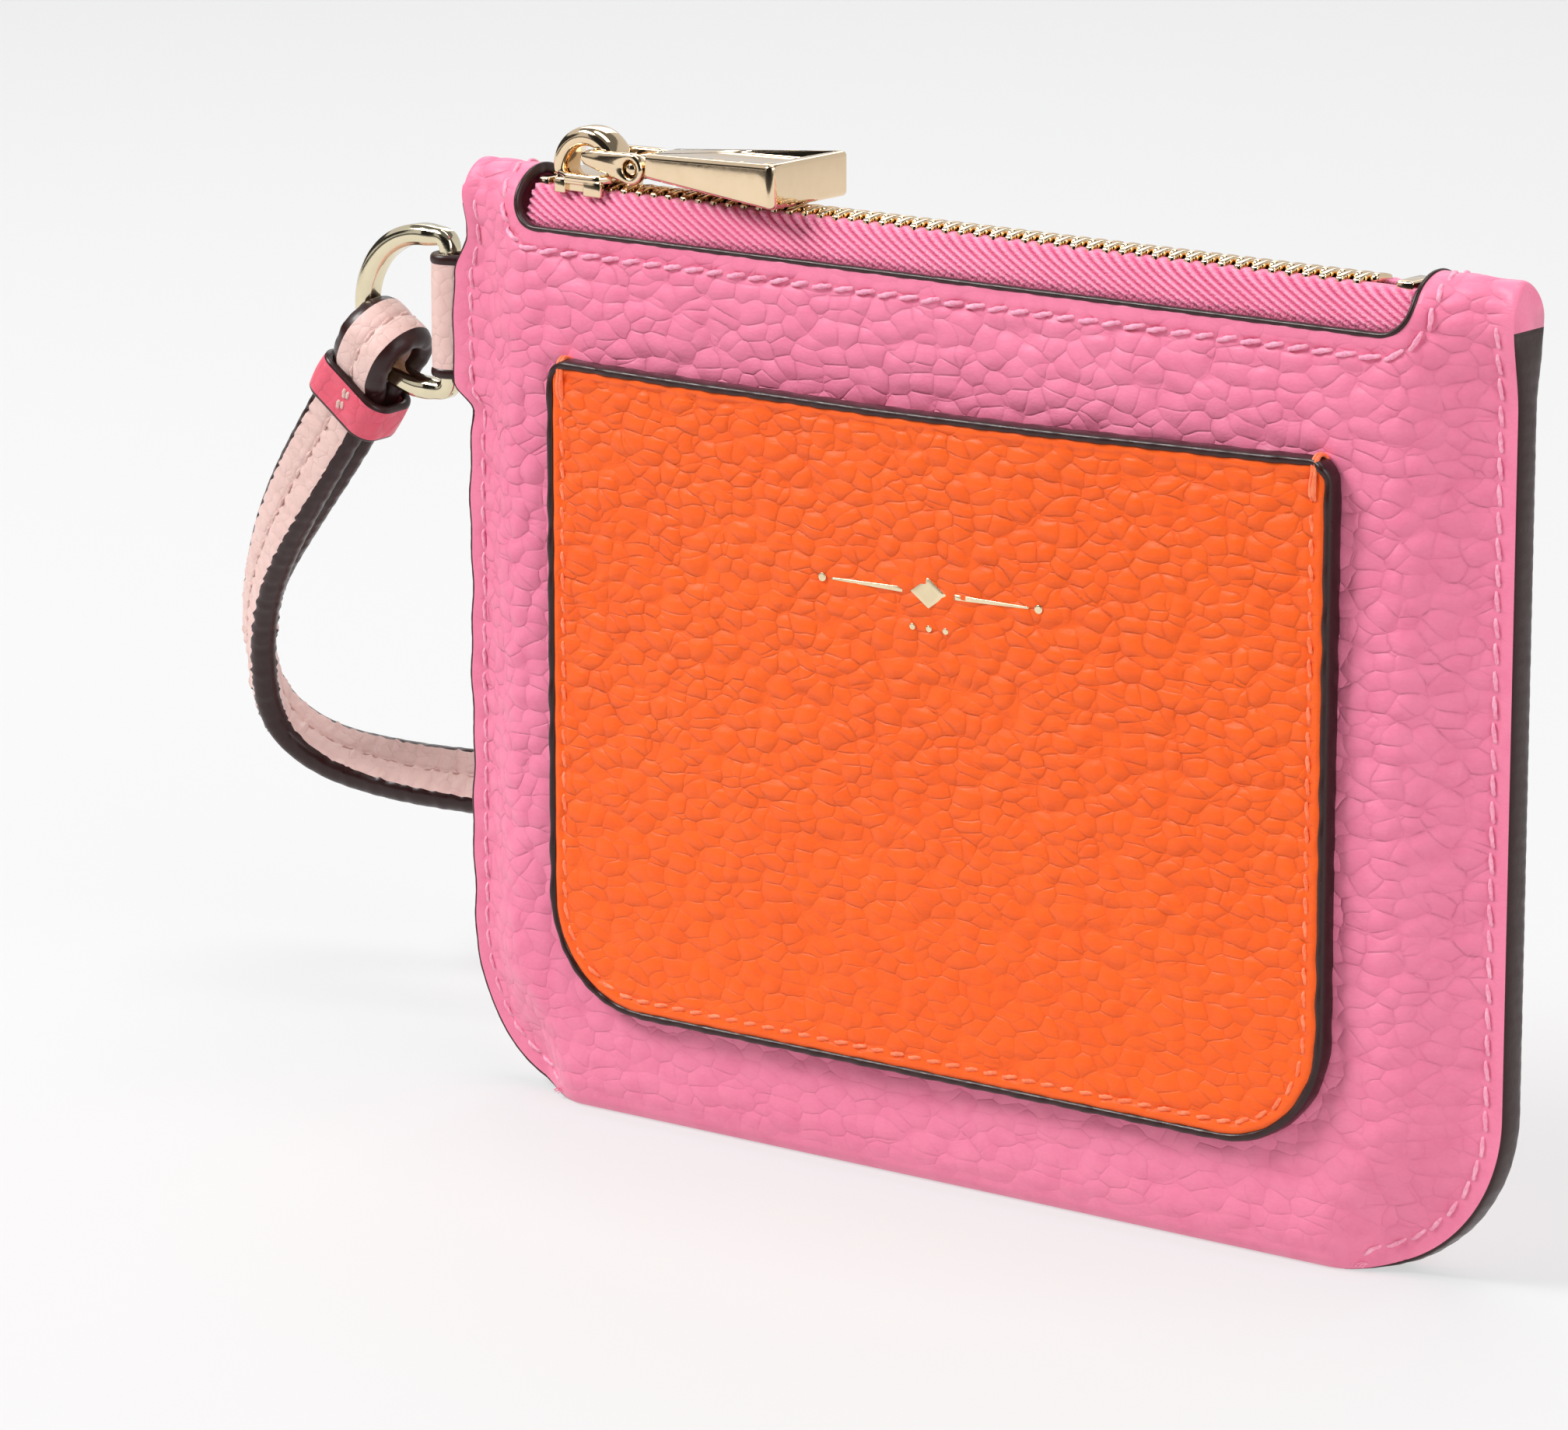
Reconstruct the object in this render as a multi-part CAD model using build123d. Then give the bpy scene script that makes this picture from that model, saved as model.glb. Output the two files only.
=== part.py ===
from build123d import *
import math
import os

os.makedirs("parts", exist_ok=True)

# Wristlet wallet, standing on its folded bottom edge. Millimetres.
# +X runs along the zip from the slider (closed) end to the far end,
# -Y is the front with the slip pocket, +Z is up, z = 0 is the floor under the fold.

# ---------------------------------------------------------------- driving dimensions
WALLET_W = 152.4          # width over the side seams
WALLET_H = 116.0          # height to the top fold
WALLET_T = 14.0           # thickness over the leather
SEAM_T = 3.8              # thickness at the side seams
LEATHER = 1.2             # body leather
CORNER_R = 20.0           # bottom corners
FOOT_T = 9.0              # flat of the bottom fold
TOP_START = 100.0         # where the walls start to curve into the top fold

SLOT_W = 129.0            # zip slot, along X
SLOT_Z = 109.0            # lower edge of the slot
SLOT_R = 4.0

POCKET_W = 112.0
POCKET_Z0 = 14.4
POCKET_Z1 = 94.5
POCKET_T = 2.4            # stand-off of the pocket's face from the body
POCKET_LEATHER = 1.3
POCKET_R = 13.5
POCKET_R_TOP = 1.5
POCKET_SEAM = 2.8         # width of the sewn border

CHAIN_Z = 113.7           # middle of the zip tape at the chain
TOOTH_PITCH = 2.28
TOOTH_W = 1.05
TOOTH_T = 2.0
CHAIN_X0 = -57.2
CHAIN_X1 = 58.6
TAPE_T = 0.6

SLIDER_X0 = -60.9
SLIDER_X1 = -51.6
BRIDGE_X = -56.3
LINK_X = -55.0            # axis of the link on the bridge
LINK_Z = 117.9
PIN_X = -48.3             # axis of the puller bar on the link
PIN_Z = 117.1
PIN_R = 0.8
BAR_X0 = -46.2
BAR_X1 = -23.3
BAR_W0 = 6.0
BAR_W1 = 15.4
BAR_Z0 = 115.1
BAR_RECESS_W = 5.2          # recess in the underside, which clears the crown of the leather
BAR_RECESS_Z = 116.3
BAR_Z1A = 118.7
BAR_Z1B = 120.3

RING_BAR_X = -79.2        # straight bar of the D-ring, the ring's hinge
RING_Z = 95.8
RING_R = 9.6              # wire centre radius
WIRE_R = 1.3
RING_ARC_X = -83.1
TAB_Z0 = 89.0
TAB_Z1 = 102.6
TAB_T = 1.1

STRAP_W = 8.6
STRAP_T = 2.4
KEEPER_H = 5.4
KEEPER_B = 4.0            # from the ring's wire to the keeper's rim
KEEPER_T = 1.1

# The strap hangs on the lower left of the ring. Its fold turns about the ring's wire there.
WIRE_POINT = (-90.7, 0.0, 89.9)
W0 = (0.69, 0.0, -0.724)
N0 = (0.724, 0.0, 0.69)

# Middle line of the strap and the direction of its width, station by station, from the
# sewn end inside the keeper, over the ring, down the near leg, round the wrist loop
# behind the wallet and back up the far leg into the keeper.
STRAP_STATIONS = [
    (-96.71, 1.5, 84.17, 0.69, -0.0, -0.724),
    (-94.32, 1.5, 86.45, 0.69, -0.0, -0.724),
    (-93.16, 1.7, 87.55, 0.69, -0.0, -0.724),
    (-91.79, 2.9, 88.87, 0.69, 0.0, -0.724),
    (-89.76, 3.5, 90.8, 0.69, 0.0, -0.724),
    (-88.49, 3.03, 92.0, 0.69, -0.0, -0.724),
    (-87.56, 1.75, 92.89, 0.69, 0.0, -0.724),
    (-87.23, 0.0, 93.21, 0.69, -0.0, -0.724),
    (-87.56, -1.75, 92.89, 0.69, 0.0, -0.724),
    (-88.49, -3.03, 92.0, 0.69, -0.0, -0.724),
    (-89.76, -3.5, 90.8, 0.69, 0.0, -0.724),
    (-91.79, -2.9, 88.87, 0.689, 0.001, -0.725),
    (-93.16, -1.7, 87.55, 0.693, -0.002, -0.721),
    (-94.32, -1.5, 86.45, 0.68, 0.0, -0.733),
    (-96.71, -1.5, 84.17, 0.7, 0.0, -0.714),
    (-99.07, -1.19, 80.46, 0.76, -0.07, -0.646),
    (-100.86, -0.49, 76.19, 0.74, -0.187, -0.646),
    (-102.87, 0.45, 72.1, 0.7, -0.284, -0.655),
    (-105.61, 1.52, 68.57, 0.61, -0.392, -0.688),
    (-108.73, 2.69, 65.36, 0.527, -0.469, -0.709),
    (-111.78, 3.99, 62.15, 0.533, -0.493, -0.687),
    (-114.6, 5.44, 58.83, 0.57, -0.475, -0.67),
    (-117.17, 7.08, 55.37, 0.608, -0.462, -0.646),
    (-119.4, 8.87, 51.75, 0.642, -0.494, -0.587),
    (-121.12, 10.67, 47.94, 0.658, -0.558, -0.505),
    (-122.42, 12.58, 43.94, 0.628, -0.608, -0.486),
    (-123.42, 14.79, 39.82, 0.599, -0.656, -0.459),
    (-123.05, 17.09, 35.96, 0.518, -0.811, -0.272),
    (-120.33, 19.12, 32.86, 0.279, -0.92, -0.274),
    (-116.37, 20.79, 30.94, 0.186, -0.894, -0.407),
    (-112.05, 22.06, 30.03, 0.131, -0.843, -0.522),
    (-107.58, 23.0, 29.55, 0.104, -0.786, -0.609),
    (-103.06, 23.87, 29.32, 0.129, -0.734, -0.666),
    (-98.56, 24.81, 29.25, 0.139, -0.685, -0.715),
    (-94.05, 25.72, 29.26, 0.123, -0.605, -0.787),
    (-89.55, 26.65, 29.24, 0.094, -0.497, -0.862),
    (-85.08, 27.74, 29.07, 0.06, -0.401, -0.914),
    (-80.73, 29.21, 28.76, 0.051, -0.319, -0.947),
    (-76.62, 31.36, 28.36, 0.053, -0.237, -0.97),
    (-73.21, 34.46, 27.92, 0.061, -0.17, -0.984),
    (-71.22, 38.68, 27.45, 0.089, -0.124, -0.988),
    (-71.28, 43.29, 26.97, 0.122, -0.072, -0.99),
    (-73.65, 47.26, 26.51, 0.153, 0.021, -0.988),
    (-77.47, 50.01, 26.12, 0.118, 0.083, -0.99),
    (-81.9, 51.33, 25.83, 0.058, 0.004, -0.998),
    (-86.56, 51.46, 25.57, 0.065, -0.114, -0.991),
    (-91.16, 50.66, 25.3, 0.11, -0.19, -0.976),
    (-95.45, 48.93, 25.07, 0.182, -0.252, -0.951),
    (-99.21, 46.29, 24.93, 0.283, -0.305, -0.909),
    (-102.57, 43.08, 24.92, 0.359, -0.371, -0.856),
    (-105.94, 39.92, 25.02, 0.367, -0.481, -0.796),
    (-109.71, 37.41, 25.23, 0.263, -0.628, -0.733),
    (-113.98, 35.7, 25.57, 0.189, -0.718, -0.67),
    (-118.3, 34.12, 26.08, 0.208, -0.766, -0.608),
    (-122.44, 32.33, 26.89, 0.26, -0.81, -0.526),
    (-126.31, 30.25, 28.27, 0.3, -0.856, -0.422),
    (-129.61, 27.95, 30.74, 0.401, -0.859, -0.318),
    (-131.33, 25.47, 34.11, 0.581, -0.704, -0.409),
    (-130.92, 22.9, 37.88, 0.587, -0.589, -0.555),
    (-129.53, 20.49, 41.76, 0.601, -0.564, -0.566),
    (-127.94, 18.33, 45.52, 0.62, -0.52, -0.587),
    (-126.04, 16.21, 49.06, 0.596, -0.45, -0.666),
    (-123.67, 14.0, 52.33, 0.552, -0.407, -0.728),
    (-120.98, 11.87, 55.43, 0.519, -0.411, -0.749),
    (-118.11, 9.94, 58.46, 0.492, -0.443, -0.749),
    (-115.12, 8.18, 61.48, 0.481, -0.468, -0.741),
    (-112.08, 6.55, 64.53, 0.508, -0.453, -0.733),
    (-109.05, 5.04, 67.66, 0.58, -0.383, -0.72),
    (-106.08, 3.73, 70.91, 0.671, -0.274, -0.689),
    (-103.22, 2.66, 74.33, 0.754, -0.155, -0.638),
    (-100.52, 1.9, 77.96, 0.78, -0.03, -0.625),
    (-98.04, 1.52, 81.86, 0.76, 0.005, -0.65),
    (-96.82, 1.5, 84.07, 0.72, 0.0, -0.694),
]


# ---------------------------------------------------------------- helpers
def plate(x0, x1, y0, y1, z0, z1):
    """A box between two corners."""
    return Pos((x0 + x1) / 2, (y0 + y1) / 2, (z0 + z1) / 2) * Box(x1 - x0, y1 - y0, z1 - z0)


def prism_xz(pts, y0, y1):
    """A polygon in the XZ plane, extruded along Y."""
    wire = Wire.make_polygon([Vector(x, y0, z) for x, z in pts], close=True)
    return extrude(Face(wire), amount=y1 - y0, dir=(0, 1, 0))


def prism_yz(pts, x0, x1):
    """A polygon in the YZ plane, extruded along X."""
    wire = Wire.make_polygon([Vector(x0, y, z) for y, z in pts], close=True)
    return extrude(Face(wire), amount=x1 - x0, dir=(1, 0, 0))


def prism_xy(pts, z0, z1):
    """A polygon in the XY plane, extruded along Z."""
    wire = Wire.make_polygon([Vector(x, y, z0) for x, y in pts], close=True)
    return extrude(Face(wire), amount=z1 - z0, dir=(0, 0, 1))


def rod_y(x, z, r, y0, y1):
    """A round bar along Y."""
    return Pos(x, (y0 + y1) / 2, z) * Rot(90, 0, 0) * Cylinder(r, y1 - y0)


def unit(v):
    n = math.sqrt(sum(c * c for c in v))
    return tuple(c / n for c in v)


def cross(a, b):
    return (a[1] * b[2] - a[2] * b[1], a[2] * b[0] - a[0] * b[2], a[0] * b[1] - a[1] * b[0])


def frames(stations):
    """Point, width direction and outward normal at each station."""
    out = []
    for i, s in enumerate(stations):
        a = stations[max(i - 1, 0)]
        b = stations[min(i + 1, len(stations) - 1)]
        t = unit((b[0] - a[0], b[1] - a[1], b[2] - a[2]))
        w = s[3:6]
        d = sum(w[k] * t[k] for k in range(3))
        w = unit(tuple(w[k] - d * t[k] for k in range(3)))
        out.append((s[:3], w, cross(t, w)))
    return out


def band(fr, w0, w1, n0, n1):
    """A closed band with a rectangular section, w0..w1 across and n0..n1 through."""
    def corner(f, w, n):
        return Vector(*(f[0][k] + f[1][k] * w + f[2][k] * n for k in range(3)))

    rings = [[corner(f, w, n) for w, n in ((w0, n0), (w1, n0), (w1, n1), (w0, n1))] for f in fr]
    faces = []

    def tri(a, b, c):
        faces.append(Face(Wire.make_polygon([a, b, c], close=True)))

    for r, q in zip(rings[:-1], rings[1:]):
        for k in range(4):
            m = (k + 1) % 4
            tri(r[k], q[k], q[m])
            tri(r[k], q[m], r[m])
    for end in (rings[0], rings[-1]):
        tri(end[0], end[1], end[2])
        tri(end[0], end[2], end[3])
    return Solid(Shell(faces))


def top_profile(t_half, h, z_start, n=14):
    """Half-ellipse over the top, from +Y round to -Y."""
    return [
        (t_half * math.cos(math.pi * k / n), z_start + (h - z_start) * math.sin(math.pi * k / n))
        for k in range(n + 1)
    ]


def section(t_half, h, z0, foot_half, z_start):
    """Wallet section in YZ: flat foot, short bottom curve, walls, rounded top."""
    low = [(t_half, z0 + 5.5), (t_half - 0.5, z0 + 2.6), (foot_half + 0.7, z0 + 0.6), (foot_half, z0)]
    pts = top_profile(t_half, h, z_start)
    return pts + [(-y, z) for y, z in low] + [(y, z) for y, z in reversed(low)]


def plan(w_half, t_half, seam_half, inset):
    """Wallet plan in XY: flat middle that tapers to the side seams."""
    right = [
        (w_half, seam_half),
        (w_half - 4.2, seam_half + 0.7),
        (w_half - 8.0 - inset, t_half - 1.2),
        (w_half - 13.0 - inset, t_half + 0.01),
    ]
    top = [(x, y) for x, y in right] + [(-x, y) for x, y in reversed(right)]
    return top + [(x, -y) for x, y in reversed(top)]


parts = {}

# ---------------------------------------------------------------- outer leather
H2 = WALLET_W / 2
T2 = WALLET_T / 2
outer = prism_yz(section(T2, WALLET_H, 0.0, FOOT_T / 2, TOP_START), -H2, H2) & prism_xy(
    plan(H2, T2, SEAM_T / 2, 0.0), -1, WALLET_H + 1
)
inner = prism_yz(
    section(T2 - LEATHER, WALLET_H - LEATHER, LEATHER + 0.1, FOOT_T / 2 - 0.6, TOP_START), -H2 + 3.8, H2 - 3.8
) & prism_xy(plan(H2 - 3.8, T2 - LEATHER, 0.9, 0.6), 0, WALLET_H)
# rounded bottom corners, seen from the front, outside and inside
def corner_cut(r):
    block = plate(-H2 - 1, -H2 + CORNER_R, -T2 - 1, T2 + 1, -1, CORNER_R)
    return block - Pos(-H2 + CORNER_R, 0, CORNER_R) * Rot(90, 0, 0) * Cylinder(r, WALLET_T + 4)


cut_out = corner_cut(CORNER_R)
cut_in = corner_cut(CORNER_R - 4.0)
inner = inner - cut_in - mirror(cut_in, Plane.YZ)
leather = outer - cut_out - mirror(cut_out, Plane.YZ) - inner
# zip slot, cut across the top fold
slot = plate(-SLOT_W / 2, SLOT_W / 2, -T2 - 1, T2 + 1, SLOT_Z, WALLET_H + 2)
slot = fillet(slot.edges().filter_by(Axis.Y).group_by(Axis.Z)[0], SLOT_R)
leather = leather - slot
# the tab's tail passes between the two leathers at the left seam
leather = leather - plate(-H2 - 3, -H2 + 6, -0.88, 0.88, TAB_Z0 - 0.1, TAB_Z1 + 0.1)
parts["outer_leather"] = leather

# ---------------------------------------------------------------- front slip pocket
PY0 = -T2 - 0.02
PY1 = PY0 - POCKET_T
pocket = plate(-POCKET_W / 2, POCKET_W / 2, PY1, PY0, POCKET_Z0, POCKET_Z1)
ey = pocket.edges().filter_by(Axis.Y)
pocket = fillet(ey.group_by(Axis.Z)[0], POCKET_R)
pocket = fillet(pocket.edges().filter_by(Axis.Y).group_by(Axis.Z)[-1], POCKET_R_TOP)
cavity = plate(
    -POCKET_W / 2 + POCKET_SEAM, POCKET_W / 2 - POCKET_SEAM, PY1 + POCKET_LEATHER, PY0 + 1, POCKET_Z0 + POCKET_SEAM, POCKET_Z1 + 1
)
cavity = fillet(cavity.edges().filter_by(Axis.Y).group_by(Axis.Z)[0], POCKET_R - POCKET_SEAM)
parts["front_slip_pocket"] = pocket - cavity

# ---------------------------------------------------------------- zip
def tape(side):
    """One tape: flat at the chain, down over the slot's edge and inside along the wall."""
    c = [
        (1.05, CHAIN_Z), (2.3, CHAIN_Z), (2.6, CHAIN_Z - 0.35), (4.0, 109.9),
        (4.2, 108.3), (4.25, 104.0), (4.25, 102.6),
    ]
    h = TAPE_T / 2
    up, dn = [], []
    normals = []
    for a, b in zip(c[:-1], c[1:]):
        dy, dz = b[0] - a[0], b[1] - a[1]
        n = math.hypot(dy, dz)
        normals.append((-dz / n, dy / n))
    for i, (y, z) in enumerate(c):
        a = normals[max(i - 1, 0)]
        b = normals[min(i, len(normals) - 1)]
        ny, nz = (a[0] + b[0]) / 2, (a[1] + b[1]) / 2
        k = h / (ny * ny + nz * nz)
        up.append((side * (y + ny * k), z + nz * k))
        dn.append((side * (y - ny * k), z - nz * k))
    return prism_yz(up + dn[::-1], -63.2, 63.2)


parts["zip_tape_front"] = tape(-1)
parts["zip_tape_back"] = tape(1)


def tooth(side, x):
    """A tooth clamped on the tape's edge, with its head past the middle."""
    y0, y1 = sorted((side * 2.2, -side * 0.72))
    body = plate(x, x + TOOTH_W, y0, y1, CHAIN_Z - TOOTH_T / 2, CHAIN_Z + TOOTH_T / 2)
    s0, s1 = sorted((side * 1.0, side * 2.4))
    return body - plate(x - 1, x + TOOTH_W + 1, s0, s1, CHAIN_Z - 0.33, CHAIN_Z + 0.33)


count = int((CHAIN_X1 - CHAIN_X0) / TOOTH_PITCH)
front_one = tooth(-1, 0)
back_one = tooth(1, 0)
parts["zip_teeth_front"] = Compound(children=[Pos(CHAIN_X0 + k * TOOTH_PITCH, 0, 0) * front_one for k in range(count)])
parts["zip_teeth_back"] = Compound(
    children=[Pos(CHAIN_X0 + (k + 0.5) * TOOTH_PITCH, 0, 0) * back_one for k in range(count)]
)


def stop(side, x):
    y0, y1 = sorted((side * 0.35, side * 2.2))
    body = plate(x, x + 1.6, y0, y1, CHAIN_Z - 1.0, CHAIN_Z + 1.0)
    s0, s1 = sorted((side * 1.0, side * 2.4))
    return body - plate(x - 1, x + 3, s0, s1, CHAIN_Z - 0.33, CHAIN_Z + 0.33)


parts["zip_top_stops"] = Compound(children=[stop(-1, -63.0), stop(1, -63.0)])
bottom = plate(60.2, 62.6, -2.2, 2.2, CHAIN_Z - 1.1, CHAIN_Z + 1.1)
for s in (-1, 1):
    y0, y1 = sorted((s * 1.0, s * 2.4))
    bottom = bottom - plate(59, 64, y0, y1, CHAIN_Z - 0.33, CHAIN_Z + 0.33)
parts["zip_bottom_stop"] = bottom

# ---------------------------------------------------------------- slider, link, pin, bar
top_plate = plate(SLIDER_X0, SLIDER_X1, -4.2, 4.2, 114.95, 115.95)
top_plate = fillet(top_plate.edges().filter_by(Axis.Z), 1.6)
slider = top_plate
for s in (-1, 1):
    y0, y1 = sorted((s * 3.35, s * 4.2))
    slider += plate(SLIDER_X0 + 1.8, SLIDER_X1 - 0.6, y0, y1, 113.3, 115.4)
slider += plate(SLIDER_X0 + 0.9, SLIDER_X0 + 2.5, -0.85, 0.85, 111.6, 115.4)
slider += fillet(plate(SLIDER_X0 + 0.5, SLIDER_X1 - 0.3, -1.9, 1.9, 111.0, 112.3).edges().filter_by(Axis.Z), 0.8)
arch = Pos(BRIDGE_X, 0, 115.9) * Rot(90, 0, 0) * extrude(Ellipse(5.3, 5.4), amount=1.6, both=True)
window = Pos(BRIDGE_X, 0, 115.95) * Rot(90, 0, 0) * extrude(Ellipse(3.5, 3.4), amount=3, both=True)
arch = arch - window - plate(-70, -40, -5, 5, 105, 115.4)
slider += arch
window_low = window & plate(-70, -40, -5, 5, 115.951, 130)
slider = slider - window_low
parts["slider_body"] = slider

plates = None
for s in (-1, 1):
    y0, y1 = sorted((s * 2.0, s * 3.3))
    dx, dz = PIN_X - LINK_X, PIN_Z - LINK_Z
    ln = math.hypot(dx, dz)
    ux, uz = dx / ln, dz / ln
    ra, rb = 1.2, 1.6
    sa = (rb - ra) / ln
    ca = math.sqrt(1 - sa * sa)
    n1 = (-uz * ca - ux * sa, ux * ca - uz * sa)
    n2 = (uz * ca - ux * sa, -ux * ca - uz * sa)
    quad = [
        (LINK_X + n1[0] * ra, LINK_Z + n1[1] * ra),
        (PIN_X + n1[0] * rb, PIN_Z + n1[1] * rb),
        (PIN_X + n2[0] * rb, PIN_Z + n2[1] * rb),
        (LINK_X + n2[0] * ra, LINK_Z + n2[1] * ra),
    ]
    one = prism_xz(quad, y0, y1) + rod_y(LINK_X, LINK_Z, ra, y0, y1) + rod_y(PIN_X, PIN_Z, rb, y0, y1)
    one = one - rod_y(PIN_X, PIN_Z, PIN_R, y0 - 1, y1 + 1)
    plates = one if plates is None else plates + one
parts["puller_link"] = plates + rod_y(LINK_X, LINK_Z, 0.9, -2.3, 2.3)
parts["link_pin"] = rod_y(PIN_X, PIN_Z, PIN_R, -3.1, 3.1)

block = loft(
    [
        Plane(origin=(BAR_X0, 0, (BAR_Z0 + BAR_Z1A) / 2), x_dir=(0, 1, 0), z_dir=(1, 0, 0))
        * Rectangle(BAR_W0, BAR_Z1A - BAR_Z0),
        Plane(origin=(BAR_X1, 0, (BAR_Z0 + BAR_Z1B) / 2), x_dir=(0, 1, 0), z_dir=(1, 0, 0))
        * Rectangle(BAR_W1, BAR_Z1B - BAR_Z0),
    ],
    ruled=True,
)
block = chamfer(block.edges(), 0.45)
block = block - plate(BAR_X0 - 1, BAR_X1 + 1, -BAR_RECESS_W / 2, BAR_RECESS_W / 2, 110, BAR_RECESS_Z)
tongue = rod_y(PIN_X, PIN_Z, 1.5, -1.8, 1.8) + plate(PIN_X, BAR_X0 + 1.5, -1.8, 1.8, 116.45, 118.35)
parts["puller_bar"] = (block + tongue) - rod_y(PIN_X, PIN_Z, PIN_R + 0.05, -3, 3)

# ---------------------------------------------------------------- D-ring and tab
wire_disc = Pos(RING_ARC_X, 0, RING_Z + RING_R) * Rot(0, 90, 0) * Circle(WIRE_R)
half = revolve(Plane(origin=(RING_ARC_X, 0, RING_Z + RING_R), z_dir=(1, 0, 0)) * Circle(WIRE_R),
               axis=Axis((RING_ARC_X, 0, RING_Z), (0, -1, 0)), revolution_arc=180)
arms = None
for s in (-1, 1):
    z = RING_Z + s * RING_R
    a = Pos((RING_BAR_X + RING_ARC_X) / 2, 0, z) * Rot(0, 90, 0) * Cylinder(WIRE_R, RING_BAR_X - RING_ARC_X)
    a += Pos(RING_BAR_X, 0, z) * Sphere(WIRE_R)
    arms = a if arms is None else arms + a
bar = Pos(RING_BAR_X, 0, RING_Z) * Cylinder(WIRE_R, 2 * RING_R)
parts["d_ring"] = half + arms + bar

TZ = (TAB_Z0 + TAB_Z1) / 2
tab = Pos(RING_BAR_X, 0, TZ) * (Cylinder(WIRE_R + 0.1 + TAB_T, TAB_Z1 - TAB_Z0) - Cylinder(WIRE_R + 0.1, TAB_Z1 - TAB_Z0 + 1))
tail = plate(RING_BAR_X + 2.0, -H2 + 5.4, -0.8, 0.8, TAB_Z0, TAB_Z1)
parts["d_ring_tab"] = tab + tail

# ---------------------------------------------------------------- wrist strap and keeper
fr = frames(STRAP_STATIONS)
parts["wrist_strap"] = band(fr, -STRAP_W / 2, STRAP_W / 2, -STRAP_T / 2, STRAP_T / 2)
parts["strap_thread"] = band(fr[17:40], -0.25, 0.25, STRAP_T / 2 + 0.12, STRAP_T / 2 + 0.34)

kp = Plane(
    origin=tuple(WIRE_POINT[k] - N0[k] * (KEEPER_B + KEEPER_H / 2) for k in range(3)),
    x_dir=W0,
    z_dir=tuple(-c for c in N0),
)
kd = 2 * (1.5 + STRAP_T / 2) + 0.3
keeper = extrude(kp * Rectangle(STRAP_W + 1.1 + 2 * KEEPER_T, kd + 2 * KEEPER_T), amount=KEEPER_H / 2, both=True)
keeper = fillet(keeper.edges().filter_by(lambda e: abs(e.length - KEEPER_H) < 0.01), 1.2)
keeper = keeper - extrude(kp * Rectangle(STRAP_W + 1.1, kd), amount=KEEPER_H, both=True)
parts["strap_keeper"] = keeper
kt = Plane(
    origin=tuple(WIRE_POINT[k] - N0[k] * (KEEPER_B + KEEPER_H / 2) + (0, -(kd / 2 + KEEPER_T + 0.14), 0)[k] for k in range(3)),
    x_dir=W0,
    z_dir=(0, -1, 0),
)
parts["keeper_thread"] = extrude(kt * Rectangle(0.4, 3.4), amount=0.1, both=True)

# ---------------------------------------------------------------- inside
def cut_corners(b, hx, z0, leg):
    """Cuts the two bottom corners off a sheet at 45 degrees."""
    for sx in (-1, 1):
        b = b - Pos(sx * hx, 0, z0) * Rot(0, 45, 0) * Box(leg * 2 ** 0.5, 40, leg * 2 ** 0.5)
    return b


parts["stiffener_front"] = cut_corners(plate(-57.5, 57.5, -5.74, -5.14, 8.0, 101.5), 57.5, 8.0, 8.0)
parts["stiffener_back"] = cut_corners(plate(-57.5, 57.5, 5.14, 5.74, 8.0, 101.5), 57.5, 8.0, 8.0)
parts["lining_front"] = cut_corners(plate(-60.5, 60.5, -5.08, -4.78, 5.0, 101.8), 60.5, 5.0, 12.0)
parts["lining_back"] = cut_corners(plate(-60.5, 60.5, 4.78, 5.08, 5.0, 101.8), 60.5, 5.0, 12.0)
parts["card_slots"] = Compound(
    children=[plate(-50, 50, 4.36, 4.74, 8.0, 66.0), plate(-50, 50, 3.94, 4.32, 8.0, 52.0)]
)

# ---------------------------------------------------------------- threads
seam = []
for sx in (-1, 1):
    for sy in (-1, 1):
        x0, x1 = sorted((sx * 73.7, sx * 74.1))
        y0, y1 = sorted((sy * 2.42, sy * 2.68))
        seam.append(plate(x0, x1, y0, y1, 18.0, 104.0))
parts["seam_thread"] = Compound(children=seam)
slot_thread = []
for sy in (-1, 1):
    y0, y1 = sorted((sy * 6.42, sy * 6.68))
    slot_thread.append(plate(-60, 60, y0, y1, 106.8, 107.2))
parts["slot_thread"] = Compound(children=slot_thread)
py = PY1 - 0.03
parts["pocket_thread"] = Compound(
    children=[
        plate(-54.5, -54.1, py - 0.25, py, 28.5, 94.0),
        plate(54.1, 54.5, py - 0.25, py, 28.5, 94.0),
        plate(-42.0, 42.0, py - 0.25, py, 15.9, 16.3),
    ]
)

for name, shape in parts.items():
    shape.label = name
    export_step(shape, f"parts/{name}.step")
print(len(parts), "nodes")
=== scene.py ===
import bpy
import bmesh
import math
import numpy as np
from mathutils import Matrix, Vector


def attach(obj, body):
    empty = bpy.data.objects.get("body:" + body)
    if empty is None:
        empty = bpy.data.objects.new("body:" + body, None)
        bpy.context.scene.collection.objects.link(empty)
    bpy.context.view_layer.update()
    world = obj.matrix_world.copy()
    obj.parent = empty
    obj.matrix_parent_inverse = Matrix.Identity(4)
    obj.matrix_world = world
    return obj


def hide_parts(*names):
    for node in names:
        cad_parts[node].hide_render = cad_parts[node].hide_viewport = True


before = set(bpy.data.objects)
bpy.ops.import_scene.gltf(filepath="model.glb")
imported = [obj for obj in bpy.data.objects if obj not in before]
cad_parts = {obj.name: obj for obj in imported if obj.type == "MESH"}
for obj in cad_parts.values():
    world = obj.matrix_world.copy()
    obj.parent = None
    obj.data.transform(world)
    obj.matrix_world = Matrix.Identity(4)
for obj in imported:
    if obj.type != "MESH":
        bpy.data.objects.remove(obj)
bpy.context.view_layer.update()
MM = 0.001
scene = bpy.context.scene
scene.view_settings.view_transform = "Standard"
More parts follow.
